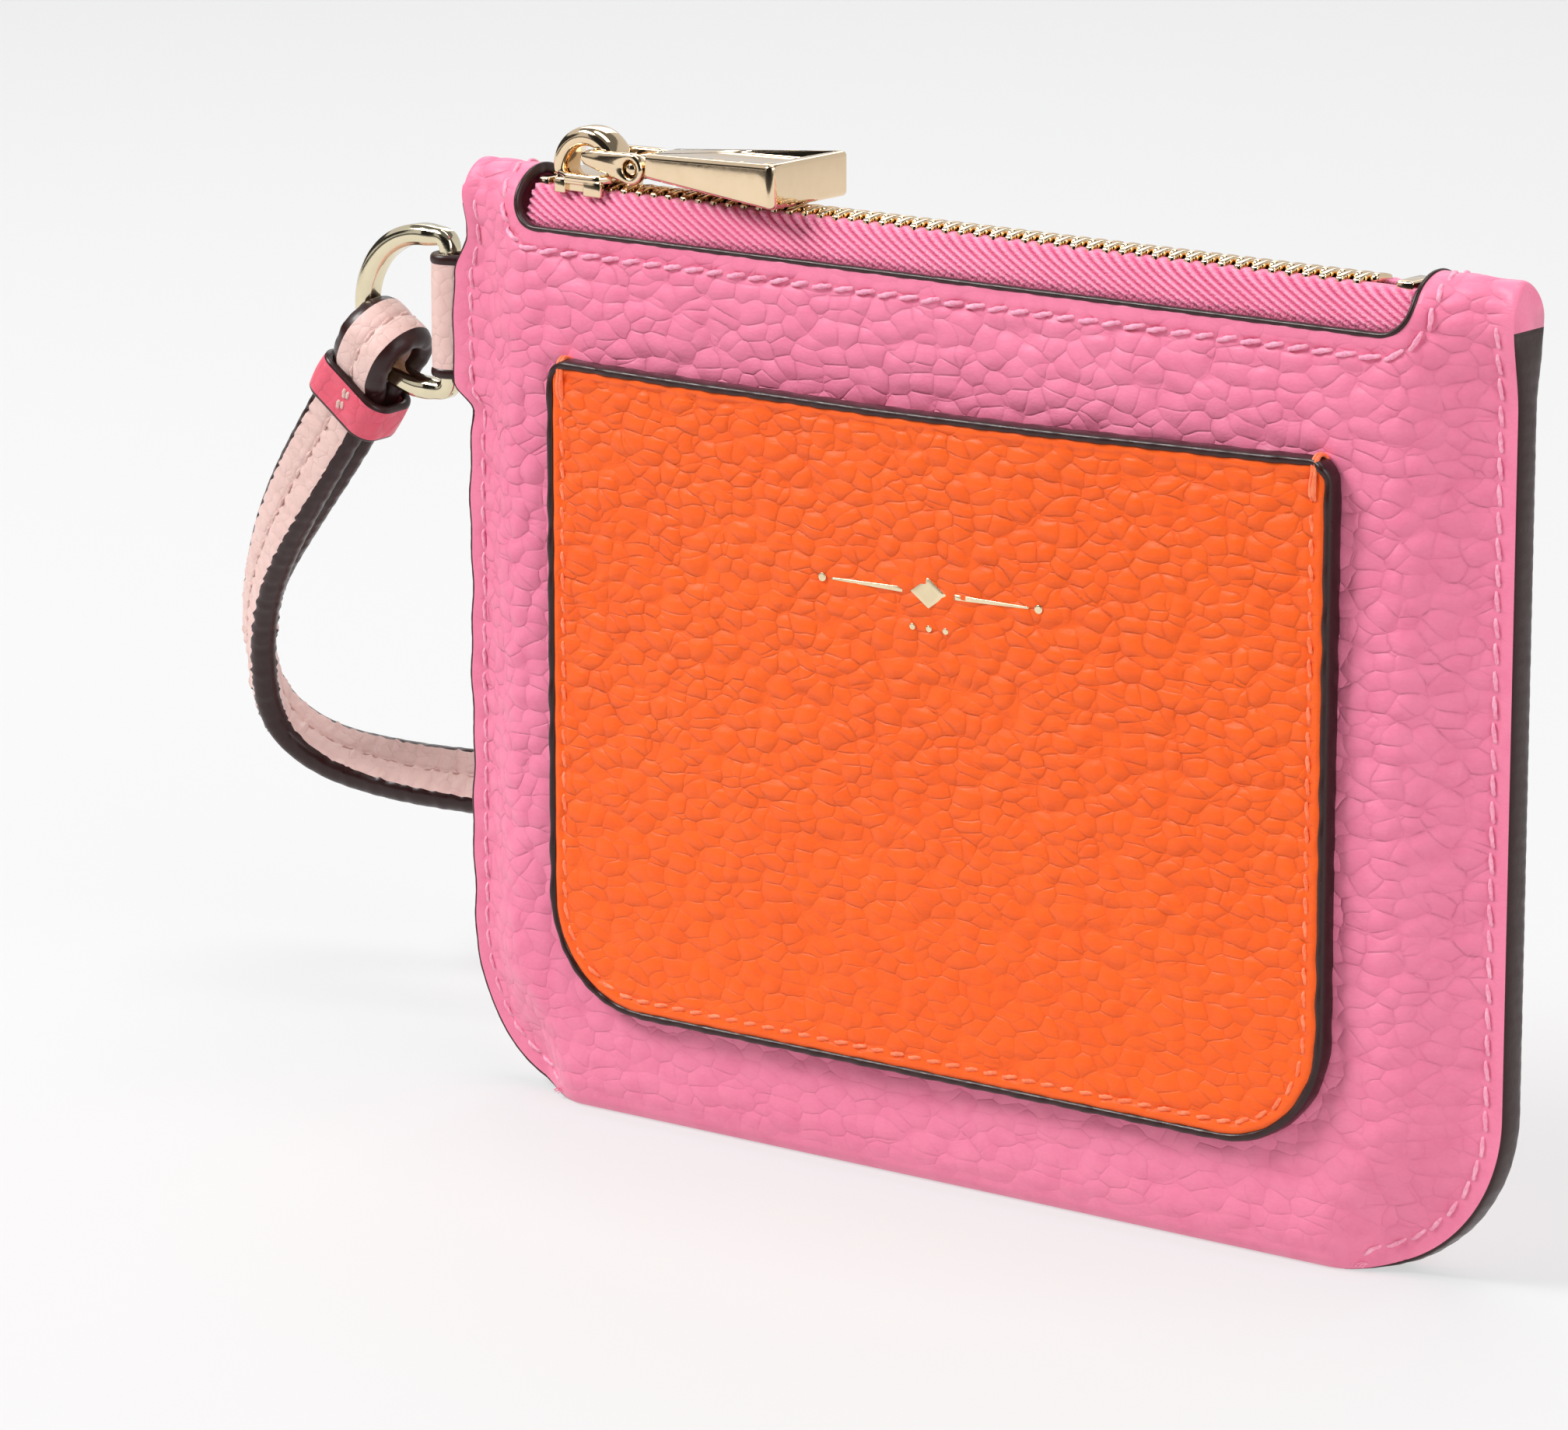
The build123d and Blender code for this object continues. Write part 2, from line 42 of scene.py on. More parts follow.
scene.view_settings.look = "None"
rng = np.random.RandomState(7)


# ------------------------------------------------------------------ mesh helpers (millimetres in, metres out)
def add_mesh(name, verts, faces, mats, midx=None, smooth=True, fix=True):
    me = bpy.data.meshes.new(name)
    me.from_pydata((np.asarray(verts, float) * MM).tolist(), [], [tuple(int(i) for i in f) for f in faces])
    if not isinstance(mats, (list, tuple)):
        mats = [mats]
    for m in mats:
        me.materials.append(m)
    if midx is not None:
        me.polygons.foreach_set("material_index", np.asarray(midx, np.int32))
    me.polygons.foreach_set("use_smooth", np.full(len(me.polygons), smooth))
    me.update()
    if fix:
        bm = bmesh.new()
        bm.from_mesh(me)
        bmesh.ops.recalc_face_normals(bm, faces=bm.faces)
        bm.to_mesh(me)
        bm.free()
    ob = bpy.data.objects.new(name, me)
    scene.collection.objects.link(ob)
    return ob


def place(ob, body, slot, *nodes):
    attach(ob, body)
    if nodes:
        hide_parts(*nodes)
    return ob


class Parts:
    """Several closed shells collected in one mesh."""

    def __init__(self):
        self.v, self.f, self.m, self.n = [], [], [], 0

    def add(self, verts, faces, mat=0):
        verts = np.asarray(verts, float)
        self.v.append(verts)
        self.f += [tuple(i + self.n for i in f) for f in faces]
        self.m += [mat] * len(faces) if np.isscalar(mat) else list(mat)
        self.n += len(verts)

    def build(self, name, mats, smooth=True):
        return add_mesh(name, np.concatenate(self.v), self.f, mats, self.m, smooth)


def unit(v):
    v = np.asarray(v, float)
    return v / np.maximum(np.linalg.norm(v, axis=-1, keepdims=True), 1e-12)


def loft(rings, closed_ring=True, cap=True, closed_path=False):
    """Quads between rings of equal length; caps are polygons."""
    n, k = len(rings), len(rings[0])
    verts = np.concatenate([np.asarray(r, float) for r in rings])
    faces = []
    for i in range(n if closed_path else n - 1):
        a, b = i * k, ((i + 1) % n) * k
        for j in range(k if closed_ring else k - 1):
            m = (j + 1) % k
            faces.append((a + j, a + m, b + m, b + j))
    if cap and not closed_path:
        faces.append(tuple(range(k - 1, -1, -1)))
        faces.append(tuple((n - 1) * k + j for j in range(k)))
    return verts, faces


def sweep(P, A, B, sec, closed=False, cap=True):
    """Section points (a, b) carried along P with axes A and B. sec may change from point to point."""
    P, A, B = (np.asarray(x, float) for x in (P, A, B))
    rings = []
    for i in range(len(P)):
        s = sec[i] if np.ndim(sec) == 3 else sec
        s = np.asarray(s, float)
        rings.append(P[i] + s[:, :1] * A[i] + s[:, 1:] * B[i])
    return loft(rings, True, cap, closed)


def ellipse(a, b, n=14, power=1.0):
    t = np.linspace(0, 2 * math.pi, n, endpoint=False)
    c, s = np.cos(t), np.sin(t)
    return np.stack([a * np.sign(c) * np.abs(c) ** power, b * np.sign(s) * np.abs(s) ** power], 1)


def tangents(P, closed=False):
    P = np.asarray(P, float)
    if closed:
        return unit(np.roll(P, -1, 0) - np.roll(P, 1, 0))
    return unit(np.gradient(P, axis=0))


def resample(P, ds, closed=False, extra=()):
    """Even spacing along a polyline; extra arrays are carried with it."""
    P = np.asarray(P, float)
    Q = np.vstack([P, P[:1]]) if closed else P
    E = [np.vstack([e, e[:1]]) if closed else np.asarray(e, float) for e in extra]
    s = np.r_[0, np.cumsum(np.linalg.norm(np.diff(Q, axis=0), axis=1))]
    n = max(int(round(s[-1] / ds)), 2)
    t = np.linspace(0, s[-1], n + 1)
    if closed:
        t = t[:-1]
    out = [np.stack([np.interp(t, s, Q[:, k]) for k in range(Q.shape[1])], 1)]
    for e in E:
        out.append(np.stack([np.interp(t, s, e[:, k]) for k in range(e.shape[1])], 1))
    return out if extra else out[0]


def sm(t):
    t = np.clip(t, 0, 1)
    return t * t * (3 - 2 * t)


def box_bevel(x0, x1, y0, y1, z0, z1, r, seg=3):
    """A block with rounded edges all round: stacked rounded outlines."""
    rings = []

    def outline(ins, z):
        rr = max(r - ins, 0.02)
        pts = []
        for cx, cy, a0 in (
            (x1 - r, y1 - r, 0), (x0 + r, y1 - r, 90), (x0 + r, y0 + r, 180), (x1 - r, y0 + r, 270)
        ):
            for k in range(seg + 2):
                a = math.radians(a0 + 90 * k / (seg + 1))
                pts.append((cx + rr * math.cos(a), cy + rr * math.sin(a), z))
        return pts

    for k in range(seg + 2):
        a = math.radians(90 * k / (seg + 1))
        rings.append(outline(r * (1 - math.sin(a)), z0 + r * (1 - math.cos(a))))
    for k in range(seg + 2):
        a = math.radians(90 * (1 - k / (seg + 1)))
        rings.append(outline(r * (1 - math.sin(a)), z1 - r * (1 - math.cos(a))))
    return loft(rings)


def lathe_y(cx, cz, prof, n=32):
    """Solid of revolution about a line along Y: prof is (radius, y)."""
    rings = []
    for r, y in prof:
        t = np.linspace(0, 2 * math.pi, n, endpoint=False)
        rings.append(np.stack([cx + r * np.cos(t), np.full(n, y), cz + r * np.sin(t)], 1))
    return loft(rings)


def plate_from_outline(outline, levels):
    """Rounded plate from a closed plan outline. levels is (inset, height function or value)."""
    o = np.asarray(outline, float)
    t = unit(np.roll(o, -1, 0) - np.roll(o, 1, 0))
    nrm = np.stack([t[:, 1], -t[:, 0]], 1)
    area = 0.5 * np.sum(o[:, 0] * np.roll(o[:, 1], -1) - np.roll(o[:, 0], -1) * o[:, 1])
    if area < 0:
        nrm = -nrm
    rings = []
    for ins, h in levels:
        p = o - nrm * ins
        z = np.array([h(x, y) for x, y in p]) if callable(h) else np.full(len(p), h)
        rings.append(np.column_stack([p, z]))
    return loft(rings)


def rounded_poly(pts, radii, seg=6):
    """Closed polygon with rounded corners, as points."""
    out = []
    n = len(pts)
    for i in range(n):
        p = np.array(pts[i], float)
        a = np.array(pts[i - 1], float) - p
        b = np.array(pts[(i + 1) % n], float) - p
        a, b = a / np.linalg.norm(a), b / np.linalg.norm(b)
        half = 0.5 * math.acos(np.clip(a @ b, -1, 1))
        r = radii[i]
        d = r / math.tan(half)
        c = p + (a + b) / np.linalg.norm(a + b) * (r / math.sin(half))
        s, e = p + a * d - c, p + b * d - c
        a0, a1 = math.atan2(s[1], s[0]), math.atan2(e[1], e[0])
        while a1 - a0 > math.pi:
            a1 -= 2 * math.pi
        while a1 - a0 < -math.pi:
            a1 += 2 * math.pi
        for k in range(seg + 1):
            t = a0 + (a1 - a0) * k / seg
            out.append(c + r * np.array([math.cos(t), math.sin(t)]))
    return np.array(out)


def densify(o, step):
    """Points added along a closed outline, so that long sides have enough of them."""
    out = []
    for i in range(len(o)):
        a, b = o[i], o[(i + 1) % len(o)]
        n = max(1, int(np.linalg.norm(b - a) / step))
        for k in range(n):
            out.append(a + (b - a) * k / n)
    return np.array(out)


# ------------------------------------------------------------------ node helpers, for shaders and geometry nodes alike
def link(nt, a, b):
    nt.links.new(a, b)


def put(nt, sock, v):
    if isinstance(v, bpy.types.NodeSocket):
        nt.links.new(v, sock)
    else:
        sock.default_value = v


def math_(nt, op, a, b=None, c=None, clamp=False):
    n = nt.nodes.new("ShaderNodeMath")
    n.operation = op
    n.use_clamp = clamp
    for s, v in zip(n.inputs, (a, b, c)):
        if v is not None:
            put(nt, s, v)
    return n.outputs[0]


def vmath(nt, op, a, b=None, scale=None):
    n = nt.nodes.new("ShaderNodeVectorMath")
    n.operation = op
    put(nt, n.inputs[0], a)
    if b is not None:
        put(nt, n.inputs[1], b)
    if scale is not None:
        put(nt, n.inputs["Scale"], scale)
    return n.outputs["Vector"]


def noise_(nt, vec, scale, detail=2.0, rough=0.5):
    n = nt.nodes.new("ShaderNodeTexNoise")
    put(nt, n.inputs["Vector"], vec)
    n.inputs["Scale"].default_value = scale
    n.inputs["Detail"].default_value = detail
    n.inputs["Roughness"].default_value = rough
    return n.outputs[0], n.outputs[1]


def maprange(nt, v, a, b, c=0.0, d=1.0, mode="LINEAR"):
    n = nt.nodes.new("ShaderNodeMapRange")
    n.interpolation_type = mode
    n.clamp = True
    put(nt, n.inputs[0], v)
    for k, x in zip((1, 2, 3, 4), (a, b, c, d)):
        n.inputs[k].default_value = x
    return n.outputs[0]


def pebble(nt, vec, cell_mm, warp=0.55, stretch=(1.0, 1.0, 1.0)):
    """Distance to the nearest crease, in cells, of an irregular pebbled grain."""
    sc = vmath(nt, "MULTIPLY", vec, tuple(1000.0 / cell_mm * s for s in stretch))
    _, col = noise_(nt, sc, 0.62, 0.6)
    off = vmath(nt, "SUBTRACT", col, (0.5, 0.5, 0.5))
    off = vmath(nt, "SCALE", off, scale=warp * 2)
    p = vmath(nt, "ADD", sc, off)
    out = []
    for feature in ("DISTANCE_TO_EDGE", "F1"):
        v = nt.nodes.new("ShaderNodeTexVoronoi")
        v.feature = feature
        put(nt, v.inputs["Vector"], p)
        v.inputs["Scale"].default_value = 1.0
        v.inputs["Randomness"].default_value = 0.85
        out.append(v.outputs["Distance"])
    return out[0], out[1]


def scale_dome(nt, f1, d, fade):
    """Height of a pebble: a round cap with a narrow crease at its border, 0 to about 1."""
    r2 = math_(nt, "MULTIPLY", f1, f1)
    cap = math_(nt, "SUBTRACT", 1.0, maprange(nt, r2, 0.0, 0.62, 0.0, 1.0))
    rim = dome(nt, d, 0.17)
    dip = math_(nt, "MULTIPLY", math_(nt, "SUBTRACT", 1.0, rim), fade)
    return math_(nt, "SUBTRACT", math_(nt, "MULTIPLY", cap, 0.78), math_(nt, "MULTIPLY", dip, 0.15))


def dome(nt, d, reach, fade=None):
    t = maprange(nt, d, 0.0, reach)
    inv = math_(nt, "SUBTRACT", 1.0, t)
    inv = math_(nt, "MULTIPLY", inv, inv)
    if fade is not None:
        inv = math_(nt, "MULTIPLY", inv, fade)
    return math_(nt, "SUBTRACT", 1.0, inv)


def crease_fade(nt, vec, cell_mm, stretch=(1.0, 1.0, 1.0)):
    """Some creases of the grain are deep and some nearly vanish."""
    sc = vmath(nt, "MULTIPLY", vec, tuple(1000.0 / cell_mm * s for s in stretch))
    v, _ = noise_(nt, sc, 0.8, 1.0)
    return maprange(nt, v, 0.36, 0.60, 0.30, 1.0, "SMOOTHSTEP")


def relief(ob, cell_mm, amp_mm, reach=0.42, warp=0.42, stretch=(1.0, 1.0, 1.0), masked=True):
    """Raises the grain in the mesh itself, with the same pattern as the leather's shader."""
    ng = bpy.data.node_groups.new(ob.name + "_relief", "GeometryNodeTree")
    ng.interface.new_socket(name="Geometry", in_out="INPUT", socket_type="NodeSocketGeometry")
    ng.interface.new_socket(name="Geometry", in_out="OUTPUT", socket_type="NodeSocketGeometry")
    N = ng.nodes
    gi, go = N.new("NodeGroupInput"), N.new("NodeGroupOutput")
    pos, nor = N.new("GeometryNodeInputPosition"), N.new("GeometryNodeInputNormal")
    d, f1 = pebble(ng, pos.outputs[0], cell_mm, warp, stretch)
    fd = crease_fade(ng, pos.outputs[0], cell_mm, stretch)
    h = math_(ng, "MULTIPLY", math_(ng, "SUBTRACT", scale_dome(ng, f1, d, fd), 0.45), amp_mm * MM)
    if masked:
        at = N.new("GeometryNodeInputNamedAttribute")
        at.data_type = "FLOAT"
        at.inputs["Name"].default_value = "grain"
        h = math_(ng, "MULTIPLY", h, at.outputs["Attribute"])
    off = vmath(ng, "SCALE", nor.outputs[0], scale=h)
    sp = N.new("GeometryNodeSetPosition")
    ng.links.new(gi.outputs[0], sp.inputs["Geometry"])
    ng.links.new(off, sp.inputs["Offset"])
    ng.links.new(sp.outputs[0], go.inputs[0])
    mod = ob.modifiers.new("relief", "NODES")
    mod.node_group = ng
    bake_mods(ob)


def bake_mods(ob):
    dg = bpy.context.evaluated_depsgraph_get()
    me = bpy.data.meshes.new_from_object(ob.evaluated_get(dg))
    ob.modifiers.clear()
    old = ob.data
    ob.data = me
    me.name = ob.name
    bpy.data.meshes.remove(old)


def thicken(ob, t_mm):
    m = ob.modifiers.new("thick", "SOLIDIFY")
    m.thickness = t_mm * MM
    m.offset = -1.0
    m.use_rim = True
    bake_mods(ob)


# Per-point 'grain' values: the grain mask of the leather, and the painted rib shade and highlight of the zip tape.
def set_grain_and_shade_attr(ob, values):
    a = ob.data.attributes.new("grain", "FLOAT", "POINT")
    a.data.foreach_set("value", np.asarray(values, np.float32))


# ------------------------------------------------------------------ materials
def lin(r, g, b):
    """Display values 0..255 to linear colour."""
    out = []
    for c in (r, g, b):
        c = c / 255.0
        out.append(c / 12.92 if c <= 0.04045 else ((c + 0.055) / 1.055) ** 2.4)
    return tuple(out) + (1.0,)


def new_mat(name):
    m = bpy.data.materials.new(name)
    m.use_nodes = True
    nt = m.node_tree
    nt.nodes.clear()
    out = nt.nodes.new("ShaderNodeOutputMaterial")
    b = nt.nodes.new("ShaderNodeBsdfPrincipled")
    nt.links.new(b.outputs[0], out.inputs[0])
    tc = nt.nodes.new("ShaderNodeTexCoord")
    return m, nt, b, tc.outputs["Object"]


def mixc(nt, fac, a, b):
    n = nt.nodes.new("ShaderNodeMix")
    n.data_type = "RGBA"
    put(nt, n.inputs[0], fac)
    put(nt, n.inputs[6], a)
    put(nt, n.inputs[7], b)
    return n.outputs[2]


def bump(nt, h, dist_mm, strength=1.0, prev=None):
    n = nt.nodes.new("ShaderNodeBump")
    n.inputs["Strength"].default_value = strength
    n.inputs["Distance"].default_value = dist_mm * MM
    put(nt, n.inputs["Height"], h)
    if prev is not None:
        nt.links.new(prev, n.inputs["Normal"])
    return n.outputs[0]


def leather(name, base, crease, pale, cell_mm, crease_mm=0.10, rough=(0.52, 0.40), fine=0.018, warp=0.42,
            stretch=(1.0, 1.0, 1.0), masked=False, reach=0.10, contrast=0.09, dome_mm=0.20):
    m, nt, b, vec = new_mat(name)
    d, f1 = pebble(nt, vec, cell_mm, warp, stretch)
    fd = crease_fade(nt, vec, cell_mm, stretch)
    line = dome(nt, d, reach, fd)
    soft = scale_dome(nt, f1, d, fd)
    if masked:
        at = nt.nodes.new("ShaderNodeAttribute")
        at.attribute_name = "grain"
        g = at.outputs["Fac"]
        inv = math_(nt, "SUBTRACT", 1.0, line)
        line = math_(nt, "SUBTRACT", 1.0, math_(nt, "MULTIPLY", inv, g))
        soft = math_(nt, "SUBTRACT", 1.0, math_(nt, "MULTIPLY", math_(nt, "SUBTRACT", 1.0, soft), g))
    d2, _ = pebble(nt, vec, cell_mm * 0.36, 0.5, stretch)
    small = dome(nt, d2, 0.30)
    big, _ = noise_(nt, vec, 55.0, 2.0)
    mid, _ = noise_(nt, vec, 380.0, 3.0)
    micro, _ = noise_(nt, vec, 5200.0, 3.0, 0.6)
    pores, _ = noise_(nt, vec, 2100.0, 2.0, 0.6)
    # Painted shade: the darker colour is laid into the creases of the grain, into the low rims of the pebbles and into
    # the small creases.
    col = mixc(nt, maprange(nt, line, 0.0, 1.0, contrast, 0.0), base, crease)
    col = mixc(nt, maprange(nt, soft, 0.0, 1.0, contrast * 0.6, 0.0), col, crease)
    col = mixc(nt, maprange(nt, small, 0.0, 1.0, 0.05, 0.0), col, crease)
    col = mixc(nt, maprange(nt, big, 0.35, 0.65, 0.0, 0.20, "SMOOTHSTEP"), col, pale)
    # The same darker colour, laid at random in large soft patches.
    col = mixc(nt, maprange(nt, mid, 0.40, 0.75, 0.0, 0.16, "SMOOTHSTEP"), col, crease)
    nt.links.new(col, b.inputs["Base Color"])
    r = maprange(nt, soft, 0.0, 1.0, rough[0] + 0.08, rough[1])
    r = math_(nt, "ADD", r, maprange(nt, mid, 0.3, 0.7, -0.05, 0.07))
    nt.links.new(r, b.inputs["Roughness"])
    n0 = bump(nt, soft, dome_mm, 1.0)
    n1 = bump(nt, line, crease_mm * 0.55, 0.8, n0)
    n2 = bump(nt, small, crease_mm * 0.22, 0.6, n1)
    n3 = bump(nt, pores, fine, 0.6, n2)
    n4 = bump(nt, micro, fine * 0.5, 0.6, n3)
    nt.links.new(n4, b.inputs["Normal"])
    b.inputs["Specular IOR Level"].default_value = 0.34
    b.inputs["Sheen Weight"].default_value = 0.06
    b.inputs["Sheen Roughness"].default_value = 0.45
    return m


def paint(name, base, worn):
    """Edge paint: thick, glossy, with small waves and scuffs."""
    m, nt, b, vec = new_mat(name)
    wav, _ = noise_(nt, vec, 650.0, 2.0)
    fine, _ = noise_(nt, vec, 3800.0, 3.0, 0.6)
    scuff, _ = noise_(nt, vec, 1500.0, 4.0, 0.7)
    col = mixc(nt, maprange(nt, scuff, 0.58, 0.75, 0.0, 0.55, "SMOOTHSTEP"), base, worn)
    nt.links.new(col, b.inputs["Base Color"])
    nt.links.new(maprange(nt, wav, 0.3, 0.7, 0.26, 0.44), b.inputs["Roughness"])
    n1 = bump(nt, wav, 0.10, 0.6)
    nt.links.new(bump(nt, fine, 0.012, 0.5, n1), b.inputs["Normal"])
    b.inputs["Specular IOR Level"].default_value = 0.34
    b.inputs["Coat Weight"].default_value = 0.10
    b.inputs["Coat Roughness"].default_value = 0.25
    return m


def thread(name, base, dark, pale):
    m, nt, b, vec = new_mat(name)
    f1, _ = noise_(nt, vec, 4200.0, 2.0, 0.6)
    f2, _ = noise_(nt, vec, 900.0, 2.0)
    w = nt.nodes.new("ShaderNodeTexWave")
    w.inputs["Scale"].default_value = 2300.0
    w.inputs["Distortion"].default_value = 3.0
    nt.links.new(vec, w.inputs["Vector"])
    col = mixc(nt, maprange(nt, f1, 0.3, 0.6, 0.45, 0.0), base, dark)
    col = mixc(nt, maprange(nt, f2, 0.45, 0.7, 0.0, 0.5), col, pale)
    nt.links.new(col, b.inputs["Base Color"])
    nt.links.new(maprange(nt, f2, 0.3, 0.7, 0.38, 0.55), b.inputs["Roughness"])
    n1 = bump(nt, w.outputs[1], 0.02, 0.7)
    nt.links.new(bump(nt, f1, 0.02, 0.6, n1), b.inputs["Normal"])
    b.inputs["Sheen Weight"].default_value = 0.25
    b.inputs["Sheen Roughness"].default_value = 0.4
    return m


def metal(name, base, dull, rough=0.10):
    m, nt, b, vec = new_mat(name)
    b.inputs["Metallic"].default_value = 1.0
    f1, _ = noise_(nt, vec, 420.0, 3.0)
    st = vmath(nt, "MULTIPLY", vec, (500.0, 7000.0, 7000.0))
    f2, _ = noise_(nt, st, 1.0, 3.0, 0.6)
    col = mixc(nt, maprange(nt, f1, 0.35, 0.75, 0.0, 0.35), base, dull)
    nt.links.new(col, b.inputs["Base Color"])
    r = math_(nt, "ADD", maprange(nt, f1, 0.3, 0.7, rough * 0.7, rough * 1.4), maprange(nt, f2, 0.55, 0.8, 0.0, 0.07))
    nt.links.new(r, b.inputs["Roughness"])
    n1 = bump(nt, f1, 0.006, 0.5)
    nt.links.new(bump(nt, f2, 0.0012, 0.4, n1), b.inputs["Normal"])
    return m


def cloth(name, base, dark, pale, thread_mm=0.32, diag=True, depth=0.05, paint_rib_shade=False):
    """Woven fabric: crossing yarns with a diagonal twill step."""
    m, nt, b, vec = new_mat(name)
    sep = nt.nodes.new("ShaderNodeSeparateXYZ")
    nt.links.new(vec, sep.inputs[0])
    k = 2 * math.pi * 1000.0 / thread_mm
    down = math_(nt, "SUBTRACT", sep.outputs[2], math_(nt, "ABSOLUTE", sep.outputs[1]))
    jit, _ = noise_(nt, vec, 900.0, 2.0)
    j = math_(nt, "MULTIPLY", jit, 2.4)
    u = math_(nt, "ADD", math_(nt, "MULTIPLY", sep.outputs[0], k), j)
    v = math_(nt, "ADD", math_(nt, "MULTIPLY", down, k), j)
    a = math_(nt, "SINE", math_(nt, "ADD", u, math_(nt, "MULTIPLY", v, 0.5 if diag else 0.0)))
    c = math_(nt, "SINE", v)
    h = maprange(nt, math_(nt, "MULTIPLY", a, c), -1.0, 1.0)
    fuzz, _ = noise_(nt, vec, 3600.0, 3.0, 0.65)
    big, _ = noise_(nt, vec, 120.0, 2.0)
    # Painted shade and painted highlight: the low points of the weave take the dark colour and the tops of the yarns
    # the pale one; the third mix is a darker random patchiness.
    col = mixc(nt, maprange(nt, h, 0.1, 0.6, 0.6, 0.0), base, dark)
    col = mixc(nt, maprange(nt, h, 0.62, 1.0, 0.0, 0.45), col, pale)
    col = mixc(nt, maprange(nt, big, 0.35, 0.7, 0.0, 0.18), col, dark)
    # Painted shade and painted highlight on the zip tape: the per-point 'grain' value darkens the rib valleys and
    # lightens the rib crests.
    if paint_rib_shade:
        at = nt.nodes.new("ShaderNodeAttribute")
        at.attribute_name = "grain"
        col = mixc(nt, maprange(nt, at.outputs["Fac"], 0.05, 0.75, 0.85, 0.0), col, dark)
        col = mixc(nt, maprange(nt, at.outputs["Fac"], 0.7, 1.2, 0.0, 0.6), col, pale)
    nt.links.new(col, b.inputs["Base Color"])
    nt.links.new(maprange(nt, fuzz, 0.3, 0.7, 0.55, 0.8), b.inputs["Roughness"])
    n1 = bump(nt, h, depth, 0.9)
    nt.links.new(bump(nt, fuzz, 0.02, 0.6, n1), b.inputs["Normal"])
    b.inputs["Sheen Weight"].default_value = 0.3
    b.inputs["Sheen Roughness"].default_value = 0.4
    b.inputs["Specular IOR Level"].default_value = 0.3
    return m


# Each leather's second colour is painted shade in the creases of its grain and on the rims of its pebbles, and also a
# darker random patchiness; contrast sets how strong the painted crease shade is.
PINK = leather("pink_leather", lin(233, 126, 158), lin(206, 76, 122), lin(243, 142, 172), 2.65, 0.10, (0.50, 0.42),
               stretch=(0.82, 1.0, 1.22), masked=True, dome_mm=0.30)
ORANGE = leather("orange_leather", lin(247, 95, 16), lin(208, 56, 6), lin(251, 106, 26), 2.45, 0.10, (0.50, 0.42),
                 stretch=(0.84, 1.0, 1.30), masked=True, dome_mm=0.34)
PALE = leather("strap_leather", lin(228, 194, 186), lin(186, 142, 134), lin(236, 206, 198), 1.7, 0.05, (0.46, 0.38), contrast=0.07, dome_mm=0.09)
CORAL = leather("keeper_leather", lin(224, 92, 112), lin(180, 50, 74), lin(236, 120, 136), 1.9, 0.04, (0.38, 0.30), contrast=0.10, dome_mm=0.16)
EDGE = paint("edge_paint", lin(44, 20, 19), lin(74, 40, 38))
T_PINK = thread("pink_thread", lin(246, 160, 188), lin(206, 84, 128), lin(255, 200, 218))
T_ORANGE = thread("orange_thread", lin(255, 122, 70), lin(214, 66, 26), lin(255, 160, 118))
T_PALE = thread("strap_thread", lin(222, 184, 176), lin(160, 112, 104), lin(240, 216, 208))
GOLD = metal("gold_metal", (0.86, 0.665, 0.45, 1.0), (0.78, 0.585, 0.375, 1.0), 0.08)
RINGM = metal("ring_metal", (0.78, 0.69, 0.49, 1.0), (0.66, 0.57, 0.38, 1.0), 0.09)
TAPE = cloth("zip_tape_fabric", lin(252, 148, 182), lin(212, 62, 118), lin(255, 196, 216), 0.42, True, 0.06, paint_rib_shade=True)
LINING = cloth("lining_fabric", lin(214, 150, 162), lin(176, 108, 124), lin(232, 182, 190), 0.5, False, 0.04)
BOARD = cloth("fibre_board", lin(200, 194, 182), lin(168, 160, 146), lin(216, 210, 200), 0.8, False, 0.02)
FOIL = metal("foil", (0.92, 0.78, 0.52, 1.0), (0.80, 0.60, 0.34, 1.0), 0.26)


# ------------------------------------------------------------------ the wallet's surface
HW, ZT, RB, RT = 76.2, 116.0, 20.5, 1.3       # half width, height, bottom and top corner radii
SX, SZ, SR = 64.5, 109.0, 4.0                 # zip slot: half length, lower edge, corner
BODY_T = 1.2


def zbot(x):
    d = np.clip(np.abs(x) - (HW - RB), 0, RB)
    return RB - np.sqrt(np.maximum(RB * RB - d * d, 0))


def ztop(x):
    d = np.clip(np.abs(x) - (HW - RT), 0, RT)
    return ZT - RT + np.sqrt(np.maximum(RT * RT - d * d, 0))


def edge_dist(x, z):
    ax = np.abs(x)
    side = np.minimum(HW - ax, np.maximum(z, 0) + 0 * ax)
    corner = RB - np.hypot(ax - (HW - RB), z - RB)
    return np.maximum(np.where((ax > HW - RB) & (z < RB), corner, np.where(ax > HW - RB, HW - ax, side)), 0)


